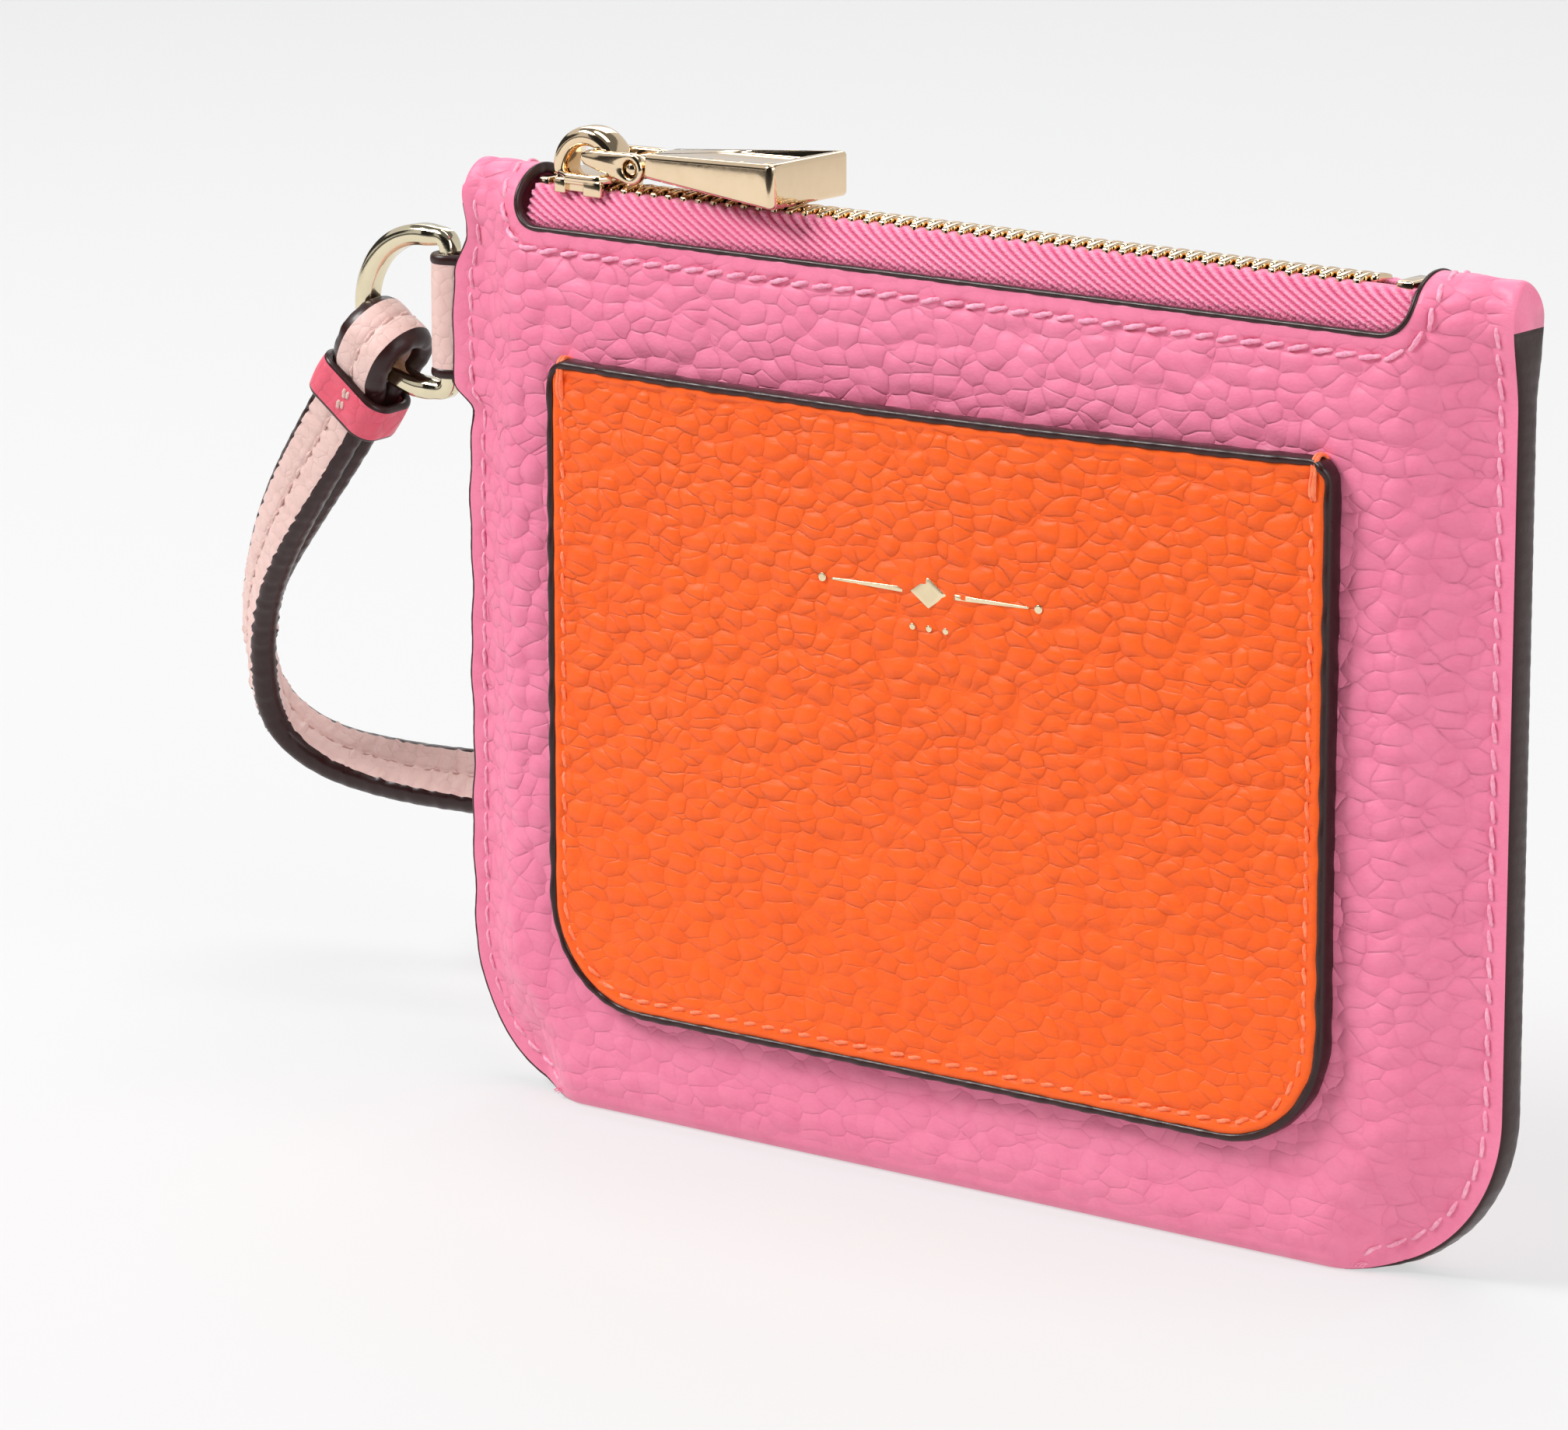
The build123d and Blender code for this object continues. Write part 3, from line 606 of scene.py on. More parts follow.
def half_t(x, z, side):
    """Half thickness of the wallet at x, z: thin at the sewn sides, round over the top, folded at the bottom."""
    x, z = np.asarray(x, float), np.asarray(z, float)
    zt = ztop(x)
    d = edge_dist(x, z)
    S = sm((d - 1.2) / 12.5)
    left = (x < 0)
    te = 1.72 + 1.40 * sm((z - 101) / 11)
    te = te + left * 0.42 * sm((z - 84.5) / 3.5) * sm((106 - z) / 5) * np.exp(-(d / 6.0) ** 2)
    te = te - left * 0.30 * np.exp(-(((z - 84.0) / 1.6) ** 2)) * np.exp(-(d / 7.0) ** 2)
    g = np.sqrt(np.maximum(1 - (np.clip(z - 100, 0, None) / (zt - 100)) ** 2, 0))
    ge = np.sqrt(np.maximum(1 - (np.clip(z - 111.5, 0, None) / (zt - 111.5)) ** 2, 0))
    seam = te * ge + (7.0 - te) * S * g
    fold = (4.5 + 2.5 * np.sqrt(np.maximum(1 - (1 - np.clip(z / 6.0, 0, 1)) ** 2, 0))) * g
    kf = sm((64.0 - np.abs(x)) / 9.0) * sm((30 - z) / 16)
    w = kf * fold + (1 - kf) * seam
    soft = S * sm(z / 14) * sm((108 - z) / 12)
    u = 0.16 * np.sin(0.083 * x + 0.6 + side) * np.sin(0.071 * z + 0.9) + 0.10 * np.sin(0.19 * x + 2.0 * side) * np.sin(0.13 * z + 2.0)
    puck = left * 0.22 * np.exp(-(((z - 84.5 + 0.25 * (x + 76)) / 1.5) ** 2)) * np.exp(-((d - 5) / 5.0) ** 2)
    puck = puck + left * 0.16 * np.exp(-(((z - 90.5 - 0.35 * (x + 76)) / 1.2) ** 2)) * np.exp(-((d - 4) / 4.0) ** 2)
    return w + u * soft - puck * (side < 0)


def xshift(x, z):
    """The left edge swells where the ring's tab is sewn in."""
    d = HW + x
    bulge = 2.15 * sm((z - 84.8) / 3.0) * sm((106.5 - z) / 5.0) - 0.35 * sm((z - 104.5) / 4.0)
    drawn_in = 1.45 * (x < 0) * np.exp(-(np.clip(d, 0, None) / 7.0) ** 2)
    wob = 0.16 * np.sin(0.31 * z + 1.0) + 0.10 * np.sin(0.83 * z)
    return drawn_in - (bulge * np.exp(-(d / 3.5) ** 2)) + wob * np.exp(-(d / 2.5) ** 2) * sm((z - 12) / 6) * (z < 113)


def body_pt(x, z, side):
    x, z = np.asarray(x, float), np.asarray(z, float)
    return np.stack([x + xshift(x, z), side * half_t(x, z, side), z], -1)


def body_nrm(x, z, side):
    x, z = np.asarray(x, float), np.asarray(z, float)
    e = 0.05
    zt = ztop(x)
    zl, zh = np.minimum(z, zt - 2 * e) - e, np.minimum(z, zt - 2 * e) + e
    tx = (half_t(x + e, z, side) - half_t(x - e, z, side)) / (2 * e)
    tz = (half_t(x, zh, side) - half_t(x, zl, side)) / (2 * e)
    return unit(np.stack([-tx, side * np.ones_like(tx), -tz], -1))


def edge_z(x):
    """Top of the wall at x: the slot's lower edge."""
    ax = np.abs(x)
    d = np.clip(ax - (SX - SR), 0, SR)
    return SZ + SR - np.sqrt(np.maximum(SR * SR - d * d, 0))


# columns
th = np.linspace(math.pi / 2, math.asin((SX - (HW - RB)) / RB), 30)
left_cols = -((HW - RB) + RB * np.sin(th))
ph = np.linspace(0, math.pi / 2, 11)[1:]
arc_cols = -((SX - SR) + SR * np.cos(ph))
mid_cols = np.linspace(-(SX - SR), SX - SR, 176)[1:-1]
cols = np.r_[left_cols, arc_cols, mid_cols, -arc_cols[::-1], -left_cols[::-1]]
CAPL = len(left_cols) - 1
CAPR = len(cols) - len(left_cols)
NA, NB, NC, ND, NE = 6, 10, 138, 26, 9
rows = []
for x in cols:
    zb, zt, ez = float(zbot(x)), float(ztop(x)), float(edge_z(x))
    cap = abs(x) >= SX - 1e-6
    foot = [(zb, k / NA) for k in range(NA)]
    low = [(zb + 5.5 * (1 - math.cos(math.pi / 2 * k / NB)), None) for k in range(NB)]
    wall = [(zb + 5.5 + (100 - zb - 5.5) * k / NC, None) for k in range(NC)]
    q0 = math.asin((min(ez, SZ + SR) - 100) / 16.0)
    up = [(100 + 16 * math.sin(q0 * k / ND), None) for k in range(ND + 1)]
    over = []
    if cap:
        b0 = math.asin((SZ + SR - 100) / (ZT - 100))
        for k in range(1, NE + 1):
            s = math.sin(b0 + (math.pi / 2 - b0) * k / NE)
            f = (s - math.sin(b0)) / (1 - math.sin(b0))
            over.append((SZ + SR + (zt - SZ - SR) * f if zt > SZ + SR else zt, None))
    rows.append(foot + low + wall + up + over)
index, V, G = {}, [], []
HT, XS, GR = {-1: [], 1: []}, [], []
for i, x in enumerate(cols):
    zz = np.array([r[0] for r in rows[i]])
    xx = np.full(len(zz), x)
    for side in (-1, 1):
        HT[side].append(half_t(xx, zz, side))
    XS.append(xshift(xx, zz))
    chan = 0.11 * np.exp(-(((edge_dist(xx, zz) - 2.2) / 0.5) ** 2)) * sm((112 - zz) / 3)
    qx, qz = np.maximum(np.abs(xx) - (SX - SR), 0), np.maximum(SZ + SR - zz, 0)
    sl = np.where(zz > 100, np.hypot(qx, qz) - SR, 99.0)
    chan = chan + 0.24 * np.exp(-(((sl - 2.35) / 0.5) ** 2)) * sm((113 - zz) / 1.5)
    for side in (-1, 1):
        HT[side][i] = HT[side][i] - chan
    ground = 0.62 + 0.38 * sm((zz - 12) / 34)
    GR.append(sm((edge_dist(xx, zz) - 0.4) / 3.0) * (0.15 + 0.85 * sm((sl - 0.3) / 2.6)) * ground * sm(zz / 5 + 0.35))


def vid(i, j, side):
    z, f = rows[i][j]
    x = cols[i]
    key = (i, j, side)
    if j == 0 or (abs(x) >= SX - 1e-6 and j == len(rows[i]) - 1):
        key = (i, j, 0)
    if key not in index:
        t = 0.0 if key[2] == 0 else side * HT[side][i][j] * (1.0 if f is None else f)
        index[key] = len(V)
        V.append((x + XS[i][j], t, z))
        G.append(float(GR[i][j]))
    return index[key]


F = []
for side in (-1, 1):
    for i in range(len(cols) - 1):
        n = NA + NB + NC + ND
        if i + 1 <= CAPL or i >= CAPR:
            n += NE
        for j in range(n):
            q = (vid(i, j, side), vid(i + 1, j, side), vid(i + 1, j + 1, side), vid(i, j + 1, side))
            F.append(q if side < 0 else q[::-1])
for i, flip in ((0, False), (len(cols) - 1, True)):
    for j in range(NA, NA + NB + NC + ND + NE - 1):
        q = (vid(i, j, -1), vid(i, j + 1, -1), vid(i, j + 1, 1), vid(i, j, 1))
        F.append(q[::-1] if flip else q)
clean = []
for q in F:
    u = []
    for k in q:
        if k not in u:
            u.append(k)
    if len(u) >= 3:
        clean.append(tuple(u))
body = add_mesh("body_leather", np.array(V), clean, PINK, fix=False)
bm = bmesh.new()
bm.from_mesh(body.data)
lay = bm.verts.layers.float.new("grain")
for v, g in zip(bm.verts, G):
    v[lay] = g
bmesh.ops.remove_doubles(bm, verts=bm.verts, dist=1e-6)
bmesh.ops.dissolve_degenerate(bm, dist=1e-7, edges=bm.edges)
bm.to_mesh(body.data)
bm.free()
relief(body, 2.65, 0.36, stretch=(0.82, 1.0, 1.22))
thicken(body, BODY_T)
place(body, "wallet", "body_leather", "outer_leather")


# ------------------------------------------------------------------ paths on the surface
def slot_path(off, ds=0.4):
    """Closed path round the slot, off millimetres outside its edge: points, normals."""
    xs, zl, r = SX + off, SZ - off, SR + off
    q = []
    for x in np.arange(-(SX - SR), SX - SR + 1e-6, 0.5):
        q.append((x, zl, -1))
    for a in np.linspace(0, math.pi / 2, 14)[1:]:
        q.append((SX - SR + r * math.sin(a), SZ + SR - r * math.cos(a), -1))
    zt = float(ztop(xs))
    for a in np.linspace(0, math.pi / 2, 12)[1:-1]:
        q.append((xs, SZ + SR + (zt - SZ - SR) * math.sin(a), -1))
    q.append((xs, zt, 0))
    half = q
    back = [(x, z, 1) for x, z, s in half if s != 0][::-1]
    loop = half + back
    left_front = [(-x, z, -1) for x, z, s in half if s == -1 and x > SX - SR + 1e-6][::-1]
    left_back = [(-x, z, 1) for x, z, s in half if s == -1 and x > SX - SR + 1e-6]
    pts = left_front + half + [(x, z, 1) for x, z, s in half if s != 0 and x > SX - SR + 1e-6][::-1]
    pts += [(x, zl, 1) for x in np.arange(SX - SR, -(SX - SR) - 1e-6, -0.5)] + left_back + [(-xs, zt, 0)]
    P, N = [], []
    for x, z, s in pts:
        if s == 0:
            P.append([x, 0, z])
            N.append([0, 0, 1])
        else:
            P.append(body_pt(x, z, s))
            n = body_nrm(x, z, s)
            N.append(n)
    P, N = resample(np.array(P), ds, True, (np.array(N),))
    return P, unit(N)


P, N = slot_path(0.0, 0.45)
T = tangents(P, True)
M = unit(np.cross(N, T))
c0 = np.array([0, 0, 117.0])
toward = np.sum((np.stack([0 * P[:, 0], 0 * P[:, 0], 0 * P[:, 0] + 117.0], 1) - P) * M, 1)
if np.median(toward) < 0:
    M = -M
sec = ellipse(0.40, 0.72, 16, 0.85)
wave = 1 + 0.05 * np.sin(P[:, 0] * 0.9) + 0.04 * np.sin(P[:, 0] * 2.3 + 1)
secs = np.array([sec * w for w in wave])
v, f = sweep(P - N * 0.52 + M * 0.12, M, N, secs, closed=True)
ob = add_mesh("slot_edge_paint", v, f, EDGE)
place(ob, "wallet", "body_leather")

# painted edge of the sewn sides
for sgn, nm in ((-1, "left"), (1, "right")):
    q = []
    for a in np.linspace(math.radians(4), math.pi / 2, 40):
        q.append((HW - RB + RB * math.sin(a), RB - RB * math.cos(a)))
    for z in np.arange(RB + 0.6, 111.0, 0.6):
        q.append((HW, z))
    q = np.array(q)
    q[:, 0] *= sgn
    x, z = q[:, 0], q[:, 1]
    hw = np.maximum(half_t(x, z, -1), 0.4)
    s = np.linspace(0, 1, len(x))
    fade = sm(s / 0.04) * sm((1 - s) / 0.03)
    P = np.stack([x + xshift(x, z), 0 * x, z], 1)
    T = tangents(P)
    out = np.stack([T[:, 2], 0 * x, -T[:, 0]], 1)
    if np.sum(out[:, 0] * sgn) < 0:
        out = -out
    t = np.linspace(0, 2 * math.pi, 20, endpoint=False)
    secs = []
    for k in range(len(x)):
        rip = 1 + 0.10 * math.sin(2.1 * k) + 0.06 * math.sin(0.7 * k)
        o = np.where(np.sin(t) > 0, 0.42 * rip * fade[k], 0.45) * np.sign(np.sin(t)) * np.abs(np.sin(t)) ** 0.7
        secs.append(np.stack([(hw[k] + 0.04) * np.cos(t), o], 1))
    Y = np.tile([0.0, 1.0, 0.0], (len(x), 1))
    v, f = sweep(P, Y, out, np.array(secs))
    ob = add_mesh(nm + "_edge_paint", v, f, EDGE)
    place(ob, "wallet", "body_leather")


# ------------------------------------------------------------------ stitches
def stitches(parts, P, N, pitch, length, r, slant=0.16, closed=False, lift=0.10, dip=0.5, start=0.0, jitter=0.06):
    P, N = np.asarray(P, float), np.asarray(N, float)
    Q = np.vstack([P, P[:1]]) if closed else P
    M_ = np.vstack([N, N[:1]]) if closed else N
    s = np.r_[0, np.cumsum(np.linalg.norm(np.diff(Q, axis=0), axis=1))]
    total = s[-1] - start
    n = int(round(total / pitch)) if closed else int(total / pitch)
    if n < 1:
        return
    step = total / n if closed else pitch
    u = np.linspace(-1, 1, 11)
    ang = np.linspace(0, 2 * math.pi, 10, endpoint=False)
    ends = np.array([0.30, 0.72] + [1.0] * 7 + [0.72, 0.30])
    for k in range(n):
        c = start + step * (k + 0.5) + rng.uniform(-jitter, jitter)
        L = length * rng.uniform(0.94, 1.05)
        sl = slant * rng.uniform(0.75, 1.25)
        at = np.clip(c + u * L / 2, 0, s[-1])
        pts = np.stack([np.interp(at, s, Q[:, i]) for i in range(3)], 1)
        nn = unit(np.stack([np.interp(at, s, M_[:, i]) for i in range(3)], 1))
        tt = unit(np.gradient(pts, axis=0))
        bb = unit(np.cross(nn, tt))
        nn = np.cross(tt, bb)
        mid = pts + bb * (sl * u * L / 2)[:, None] + nn * (lift - dip * np.abs(u) ** 3.5)[:, None]
        rings = []
        for i in range(len(u)):
            rr = r * ends[i] * (1 + 0.17 * np.cos(2 * ang - 6.5 * u[i]))
            rings.append(mid[i] + bb[i] * (np.cos(ang) * rr * 1.12)[:, None] + nn[i] * (np.sin(ang) * rr)[:, None])
        v, f = loft(rings)
        parts.add(v, f)


# seam of the sides: from the bottom corner up the front, over the top and down the back
seam = Parts()
INS = 2.2
for sgn in (-1, 1):
    q = [(sgn * 58.5, 1.3, -1)]
    r = RB - INS
    for a in np.linspace(math.radians(14), math.pi / 2, 24):
        q.append((sgn * (HW - RB + r * math.sin(a)), RB - r * math.cos(a), -1))
    xs = HW - INS
    for z in np.arange(RB + 0.8, 112.0, 0.8):
        q.append((sgn * xs, z, -1))
    zt = float(ztop(xs))
    for a in np.linspace(0, math.pi / 2, 9)[1:-1]:
        q.append((sgn * xs, 112.0 + (zt - 112.0) * math.sin(a), -1))
    full = q + [(sgn * xs, zt, 0)] + [(x, z, 1) for x, z, s in q[::-1]]
    P, N = [], []
    for x, z, s in full:
        if s == 0:
            P.append([x, 0, z])
            N.append([0, 0, 1])
        else:
            P.append(body_pt(x, z, s))
            N.append(body_nrm(x, z, s))
    P, N = resample(np.array(P), 0.5, False, (np.array(N),))
    ok = P[:, 2] < 113.2
    for run in (ok & (P[:, 1] < 0), ok & (P[:, 1] > 0)):
        stitches(seam, P[run], unit(N[run]), 3.0, 2.95, 0.23, 0.14, lift=0.03, dip=0.42, start=1.0)
    # loose fibres where the seam ends at the bottom fold
    for sy in (-1, 1):
        for k in range(7):
            p0 = np.array([sgn * (58.6 + 0.22 * k), sy * 3.9, 1.1])
            d = unit(np.array([sgn * rng.uniform(-0.7, 0.5), sy * 0.9, rng.uniform(-0.35, 0.25)]))
            path = np.array([p0 + d * t + np.array([0, 0, -0.25 * t * t]) for t in np.linspace(0, 0.9, 6)])
            path[:, 2] = np.maximum(path[:, 2], 0.12)
            tt = tangents(path)
            a = unit(np.cross(tt, [0.2, 0.1, 1.0]))
            v, f = sweep(path, a, np.cross(tt, a), ellipse(0.06, 0.06, 6))
            seam.add(v, f)
ob = seam.build("body_seam_stitches", T_PINK)
place(ob, "wallet", "pink_thread", "seam_thread")

sl = Parts()
P, N = slot_path(2.35, 0.5)
stitches(sl, P, N, 3.2, 3.1, 0.27, 0.22, closed=True, lift=0.08, dip=0.5)
ob = sl.build("slot_stitches", T_PINK)
place(ob, "wallet", "pink_thread", "slot_thread")

# ------------------------------------------------------------------ front slip pocket
PX, PZ0, PZ1, PR, PRT = 56.0, 14.4, 94.5, 13.5, 2.4


def pk_half(z):
    d = np.clip(PR - (z - PZ0), 0, PR)
    w = PX - PR + np.sqrt(np.maximum(PR * PR - d * d, 0))
    e = np.clip(PRT - (PZ1 - z), 0, PRT)
    return w - (PRT - np.sqrt(np.maximum(PRT * PRT - e * e, 0)))


def pk_dist(x, z):
    """Distance inward from the pocket's sides and bottom."""
    ax = np.abs(x)
    c = PR - np.hypot(ax - (PX - PR), z - PZ0 - PR)
    return np.where((ax > PX - PR) & (z < PZ0 + PR), c, np.minimum(PX - ax, z - PZ0))


def pk_sag(x, z):
    return -0.45 * np.clip(1 - (x / PX) ** 2, 0, 1) * sm((z - 60) / 34) - 0.50 * (1 - x / PX) * sm((z - 45) / 49)


def pk_face(x, z):
    """Stand-off of the pocket's outer face from y = 0."""
    d = np.clip(pk_dist(x, z), 0, None)
    dt = PZ1 - z
    swell = 1.45 * np.clip(np.cos(math.pi * x / (2 * PX)), 0, 1) ** 0.8 * sm((z - PZ0 - 4) / 70)
    y = 7.05 + 2.25 + swell * sm(d / 10)
    y = y - 0.40 * (1 - sm(d / 1.0)) - 0.25 * (1 - sm(dt / 0.9))
    y = y - 0.17 * np.exp(-(((d - 1.9) / 0.40) ** 2)) * (dt > 0.5)
    y = y - 0.16 * np.exp(-(((dt - 1.55) / 0.28) ** 2)) * sm((d - 1.2) / 1.5)
    u = 0.14 * np.sin(0.10 * x + 1.1) * np.sin(0.085 * z + 0.4) + 0.08 * np.sin(0.23 * x) * np.sin(0.17 * z + 1.0)
    return y + u * sm(d / 12)


def pk_thick(x, z):
    d = np.clip(pk_dist(x, z), 0, None)
    return 2.15 - 0.75 * sm((d - 3.0) / 3.0)


zr = [PZ0 + PR * (1 - math.cos(a)) for a in np.linspace(0, math.pi / 2, 30)]
zr += list(np.arange(PZ0 + PR + 0.45, PZ1 - 3.2, 0.45)) + list(np.linspace(PZ1 - 3.0, PZ1 - 0.35, 12)) + [
    PZ1 - 0.18, PZ1 - 0.06, PZ1]
zr = np.array(zr)
edge_u = 1 - np.array([0, 0.35, 0.8, 1.2, 1.55, 1.8, 2.0, 2.3, 2.7, 3.1]) / PX
us = np.r_[-edge_u, np.linspace(-edge_u[-1], edge_u[-1], 226)[1:-1], edge_u[::-1]]
Z_, U_ = np.meshgrid(zr, us, indexing="ij")
X_ = U_ * pk_half(Z_)
YF = -pk_face(X_, Z_)
front = np.stack([X_, YF, Z_ + pk_sag(X_, Z_)], -1)
nr, ncol = X_.shape
faces = []
for i in range(nr - 1):
    for j in range(ncol - 1):
        a = i * ncol + j
        faces.append((a, a + 1, a + ncol + 1, a + ncol))
pocket = add_mesh("slip_pocket", front.reshape(-1, 3), faces, ORANGE, fix=False)
dd = np.minimum(pk_dist(X_, Z_), PZ1 - Z_).ravel()
set_grain_and_shade_attr(pocket, sm((dd - 0.3) / 1.9) * (0.70 + 0.30 * sm((Z_.ravel() - 22) / 40)))
relief(pocket, 2.45, 0.34, stretch=(0.84, 1.0, 1.30))
co = np.zeros(len(pocket.data.vertices) * 3)
pocket.data.vertices.foreach_get("co", co)
fr = co.reshape(-1, 3) / MM
inner = np.stack([X_, YF + pk_thick(X_, Z_), Z_ + pk_sag(X_, Z_)], -1).reshape(-1, 3)
n0 = len(fr)
faces2 = list(faces) + [tuple(k + n0 for k in q[::-1]) for q in faces]
border = [j for j in range(ncol)] + [i * ncol + ncol - 1 for i in range(1, nr)] + [
    (nr - 1) * ncol + j for j in range(ncol - 2, -1, -1)] + [i * ncol for i in range(nr - 2, 0, -1)]
for k in range(len(border)):
    a, b = border[k], border[(k + 1) % len(border)]
    faces2.append((b, a, a + n0, b + n0))
bpy.data.objects.remove(pocket)
pocket = add_mesh("slip_pocket", np.vstack([fr, inner]), faces2, ORANGE)
gr = sm((dd - 0.3) / 1.9) * (0.70 + 0.30 * sm((Z_.ravel() - 22) / 40))
set_grain_and_shade_attr(pocket, np.r_[gr, gr])
place(pocket, "wallet", "pocket_leather", "front_slip_pocket")


def pk_outline(ins, ds):
    """Closed outline of the pocket in x, z, inset by ins."""
    o = rounded_poly([(-PX + ins, PZ0 + ins), (PX - ins, PZ0 + ins), (PX - ins, PZ1 - ins), (-PX + ins, PZ1 - ins)],
                     [PR - ins, PR - ins, max(PRT - ins, 0.3), max(PRT - ins, 0.3)], 12)
    return resample(o, ds, True)


o = pk_outline(0.0, 0.45)
x, z = o[:, 0], o[:, 1]
P = np.stack([x, -(pk_face(x * 0.996, np.clip(z, PZ0 + 0.2, PZ1 - 0.2)) + 0.30) + 1.25, z + pk_sag(x, z)], 1)
T = tangents(P, True)
Yv = np.tile([0.0, 1.0, 0.0], (len(P), 1))
outw = unit(np.cross(T, Yv))
if np.sum(outw * (P - P.mean(0))) < 0:
    outw = -outw
wave = 1 + 0.05 * np.sin(x * 0.8 + z) + 0.04 * np.sin(x * 1.9 - z * 1.3)
sec = ellipse(0.60, 1.36, 18, 0.74)
v, f = sweep(P + outw * 0.05, outw, Yv, np.array([sec * w for w in wave]), closed=True)
ob = add_mesh("pocket_edge_paint", v, f, EDGE)
place(ob, "wallet", "pocket_leather")

pst = Parts()
ins = 1.9
q = [(-PX + ins, z) for z in np.arange(PZ1 - 3.2, PZ0 + PR, -0.5)]
q += [(-(PX - PR) - (PR - ins) * math.cos(a), PZ0 + PR - (PR - ins) * math.sin(a)) for a in
      np.linspace(0, math.pi / 2, 22)]
half = np.array(q)
full = np.vstack([half, [[x, PZ0 + ins] for x in np.arange(-(PX - PR) + 0.5, PX - PR, 0.5)], half[::-1] * [-1, 1]])
x, z = full[:, 0], full[:, 1]
P = np.stack([x, -pk_face(x, z), z + pk_sag(x, z)], 1)
N = np.tile([0.0, -1.0, 0.0], (len(P), 1))
P, N = resample(P, 0.5, False, (N,))
stitches(pst, P, N, 2.75, 2.6, 0.23, 0.16, lift=0.05)
# bartacks: doubled thread over the top corners
for sgn in (-1, 1):
    for k in range(2):
        x0 = sgn * (PX - ins - 0.1 + 0.42 * k)
        zc = PZ1 + float(pk_sag(x0, PZ1))
        yf = -float(pk_face(np.float64(x0), PZ1 - 3))
        path = np.array([
            [x0, yf + 0.25, zc - 4.2], [x0, yf - 0.20, zc - 3.8], [x0 + 0.05 * sgn, yf - 0.26, zc - 2.4],
            [x0 + 0.12 * sgn, yf - 0.12, zc - 1.0], [x0 + 0.16 * sgn, yf + 0.02, zc + 0.15],
            [x0 + 0.20 * sgn, yf + 0.55, zc + 0.78], [x0 + 0.24 * sgn, yf + 1.3, zc + 0.86],
            [x0 + 0.26 * sgn, yf + 2.0, zc + 0.45], [x0 + 0.26 * sgn, yf + 2.25, zc - 0.6]])
        tt = np.linspace(0, 1, len(path))
        ft = np.linspace(0, 1, 40)
        path = np.stack([np.interp(ft, tt, path[:, i]) for i in range(3)], 1)
        for _ in range(3):
            path[1:-1] = (path[:-2] + path[1:-1] * 2 + path[2:]) / 4
        t_ = tangents(path)
        a = unit(np.cross(t_, [1.0, 0.0, 0.0]))
        b = np.cross(t_, a)
        ang = np.linspace(0, 2 * math.pi, 10, endpoint=False)
        secs = []
        for i in range(len(path)):
            rr = 0.27 * (1 + 0.16 * np.cos(2 * ang - 0.55 * i))
            secs.append(np.stack([rr * np.cos(ang), rr * np.sin(ang)], 1))
        v, f = sweep(path, a, b, np.array(secs))
        pst.add(v, f)
ob = pst.build("pocket_stitches", T_ORANGE)
place(ob, "wallet", "orange_thread", "pocket_thread")


# ------------------------------------------------------------------ plain foil ornament: a lozenge between two tapered bars
def foil_piece(parts, outline, cx, cz):
    """A thin raised shape that follows the pocket's face. outline is a convex closed polygon about its own centre."""
    o = densify(np.asarray(outline, float), 0.5)
    k = len(o)
    rings = []
    for s, h in ((1.0, -0.16), (1.0, 0.055), (0.96, 0.075), (0.66, 0.08), (0.33, 0.08)):
        p = o * s
        x, z = cx + p[:, 0], cz + p[:, 1]
        rings.append(np.stack([x, -(pk_face(x, z) + h), z + pk_sag(x, z)], 1))
    v, f = loft(rings, cap=False)
    c = np.array([[cx, -(float(pk_face(cx, cz)) + 0.08), cz + float(pk_sag(cx, cz))],
                  [cx, -(float(pk_face(cx, cz)) - 0.16), cz + float(pk_sag(cx, cz))]])
    v = np.vstack([v, c])
    f += [((len(rings) - 1) * k + j, (len(rings) - 1) * k + (j + 1) % k, len(v) - 2) for j in range(k)]
    f += [((j + 1) % k, j, len(v) - 1) for j in range(k)]
    parts.add(v, f)


foil = Parts()
OX, OZ = 2.0, 73.5
foil_piece(foil, [(-2.6, 0), (0, -1.9), (2.6, 0), (0, 1.9)], OX, OZ)
for s in (-1, 1):
    foil_piece(foil, [(-5.2, -0.12), (5.2, -0.34), (5.2, 0.34), (-5.2, 0.12)] if s < 0 else
               [(-5.2, -0.34), (5.2, -0.12), (5.2, 0.12), (-5.2, 0.34)], OX + s * 9.0, OZ)
    foil_piece(foil, [(0.55 * math.cos(a), 0.55 * math.sin(a)) for a in np.linspace(0, 2 * math.pi, 14)[:-1]],
               OX + s * 15.6, OZ)
for s in (-1, 0, 1):
    foil_piece(foil, [(0.42 * math.cos(a), 0.42 * math.sin(a)) for a in np.linspace(0, 2 * math.pi, 12)[:-1]],
               OX + s * 2.4, OZ - 4.4)
ob = foil.build("pocket_ornament", FOIL)
place(ob, "wallet", "gold_metal")


# ------------------------------------------------------------------ zip tapes
def bez(points, n):
    """Smooth curve through points, by Catmull-Rom."""
    p = np.asarray(points, float)
    p = np.vstack([2 * p[0] - p[1], p, 2 * p[-1] - p[-2]])
    out = []
    for i in range(1, len(p) - 2):
        for t in np.linspace(0, 1, n, endpoint=False):
            a, b, c, d = p[i - 1], p[i], p[i + 1], p[i + 2]
            out.append(0.5 * (2 * b + (c - a) * t + (2 * a - 5 * b + 4 * c - d) * t * t + (3 * b - a - 3 * c + d) * t ** 3))
    out.append(p[-2])
    return np.array(out)


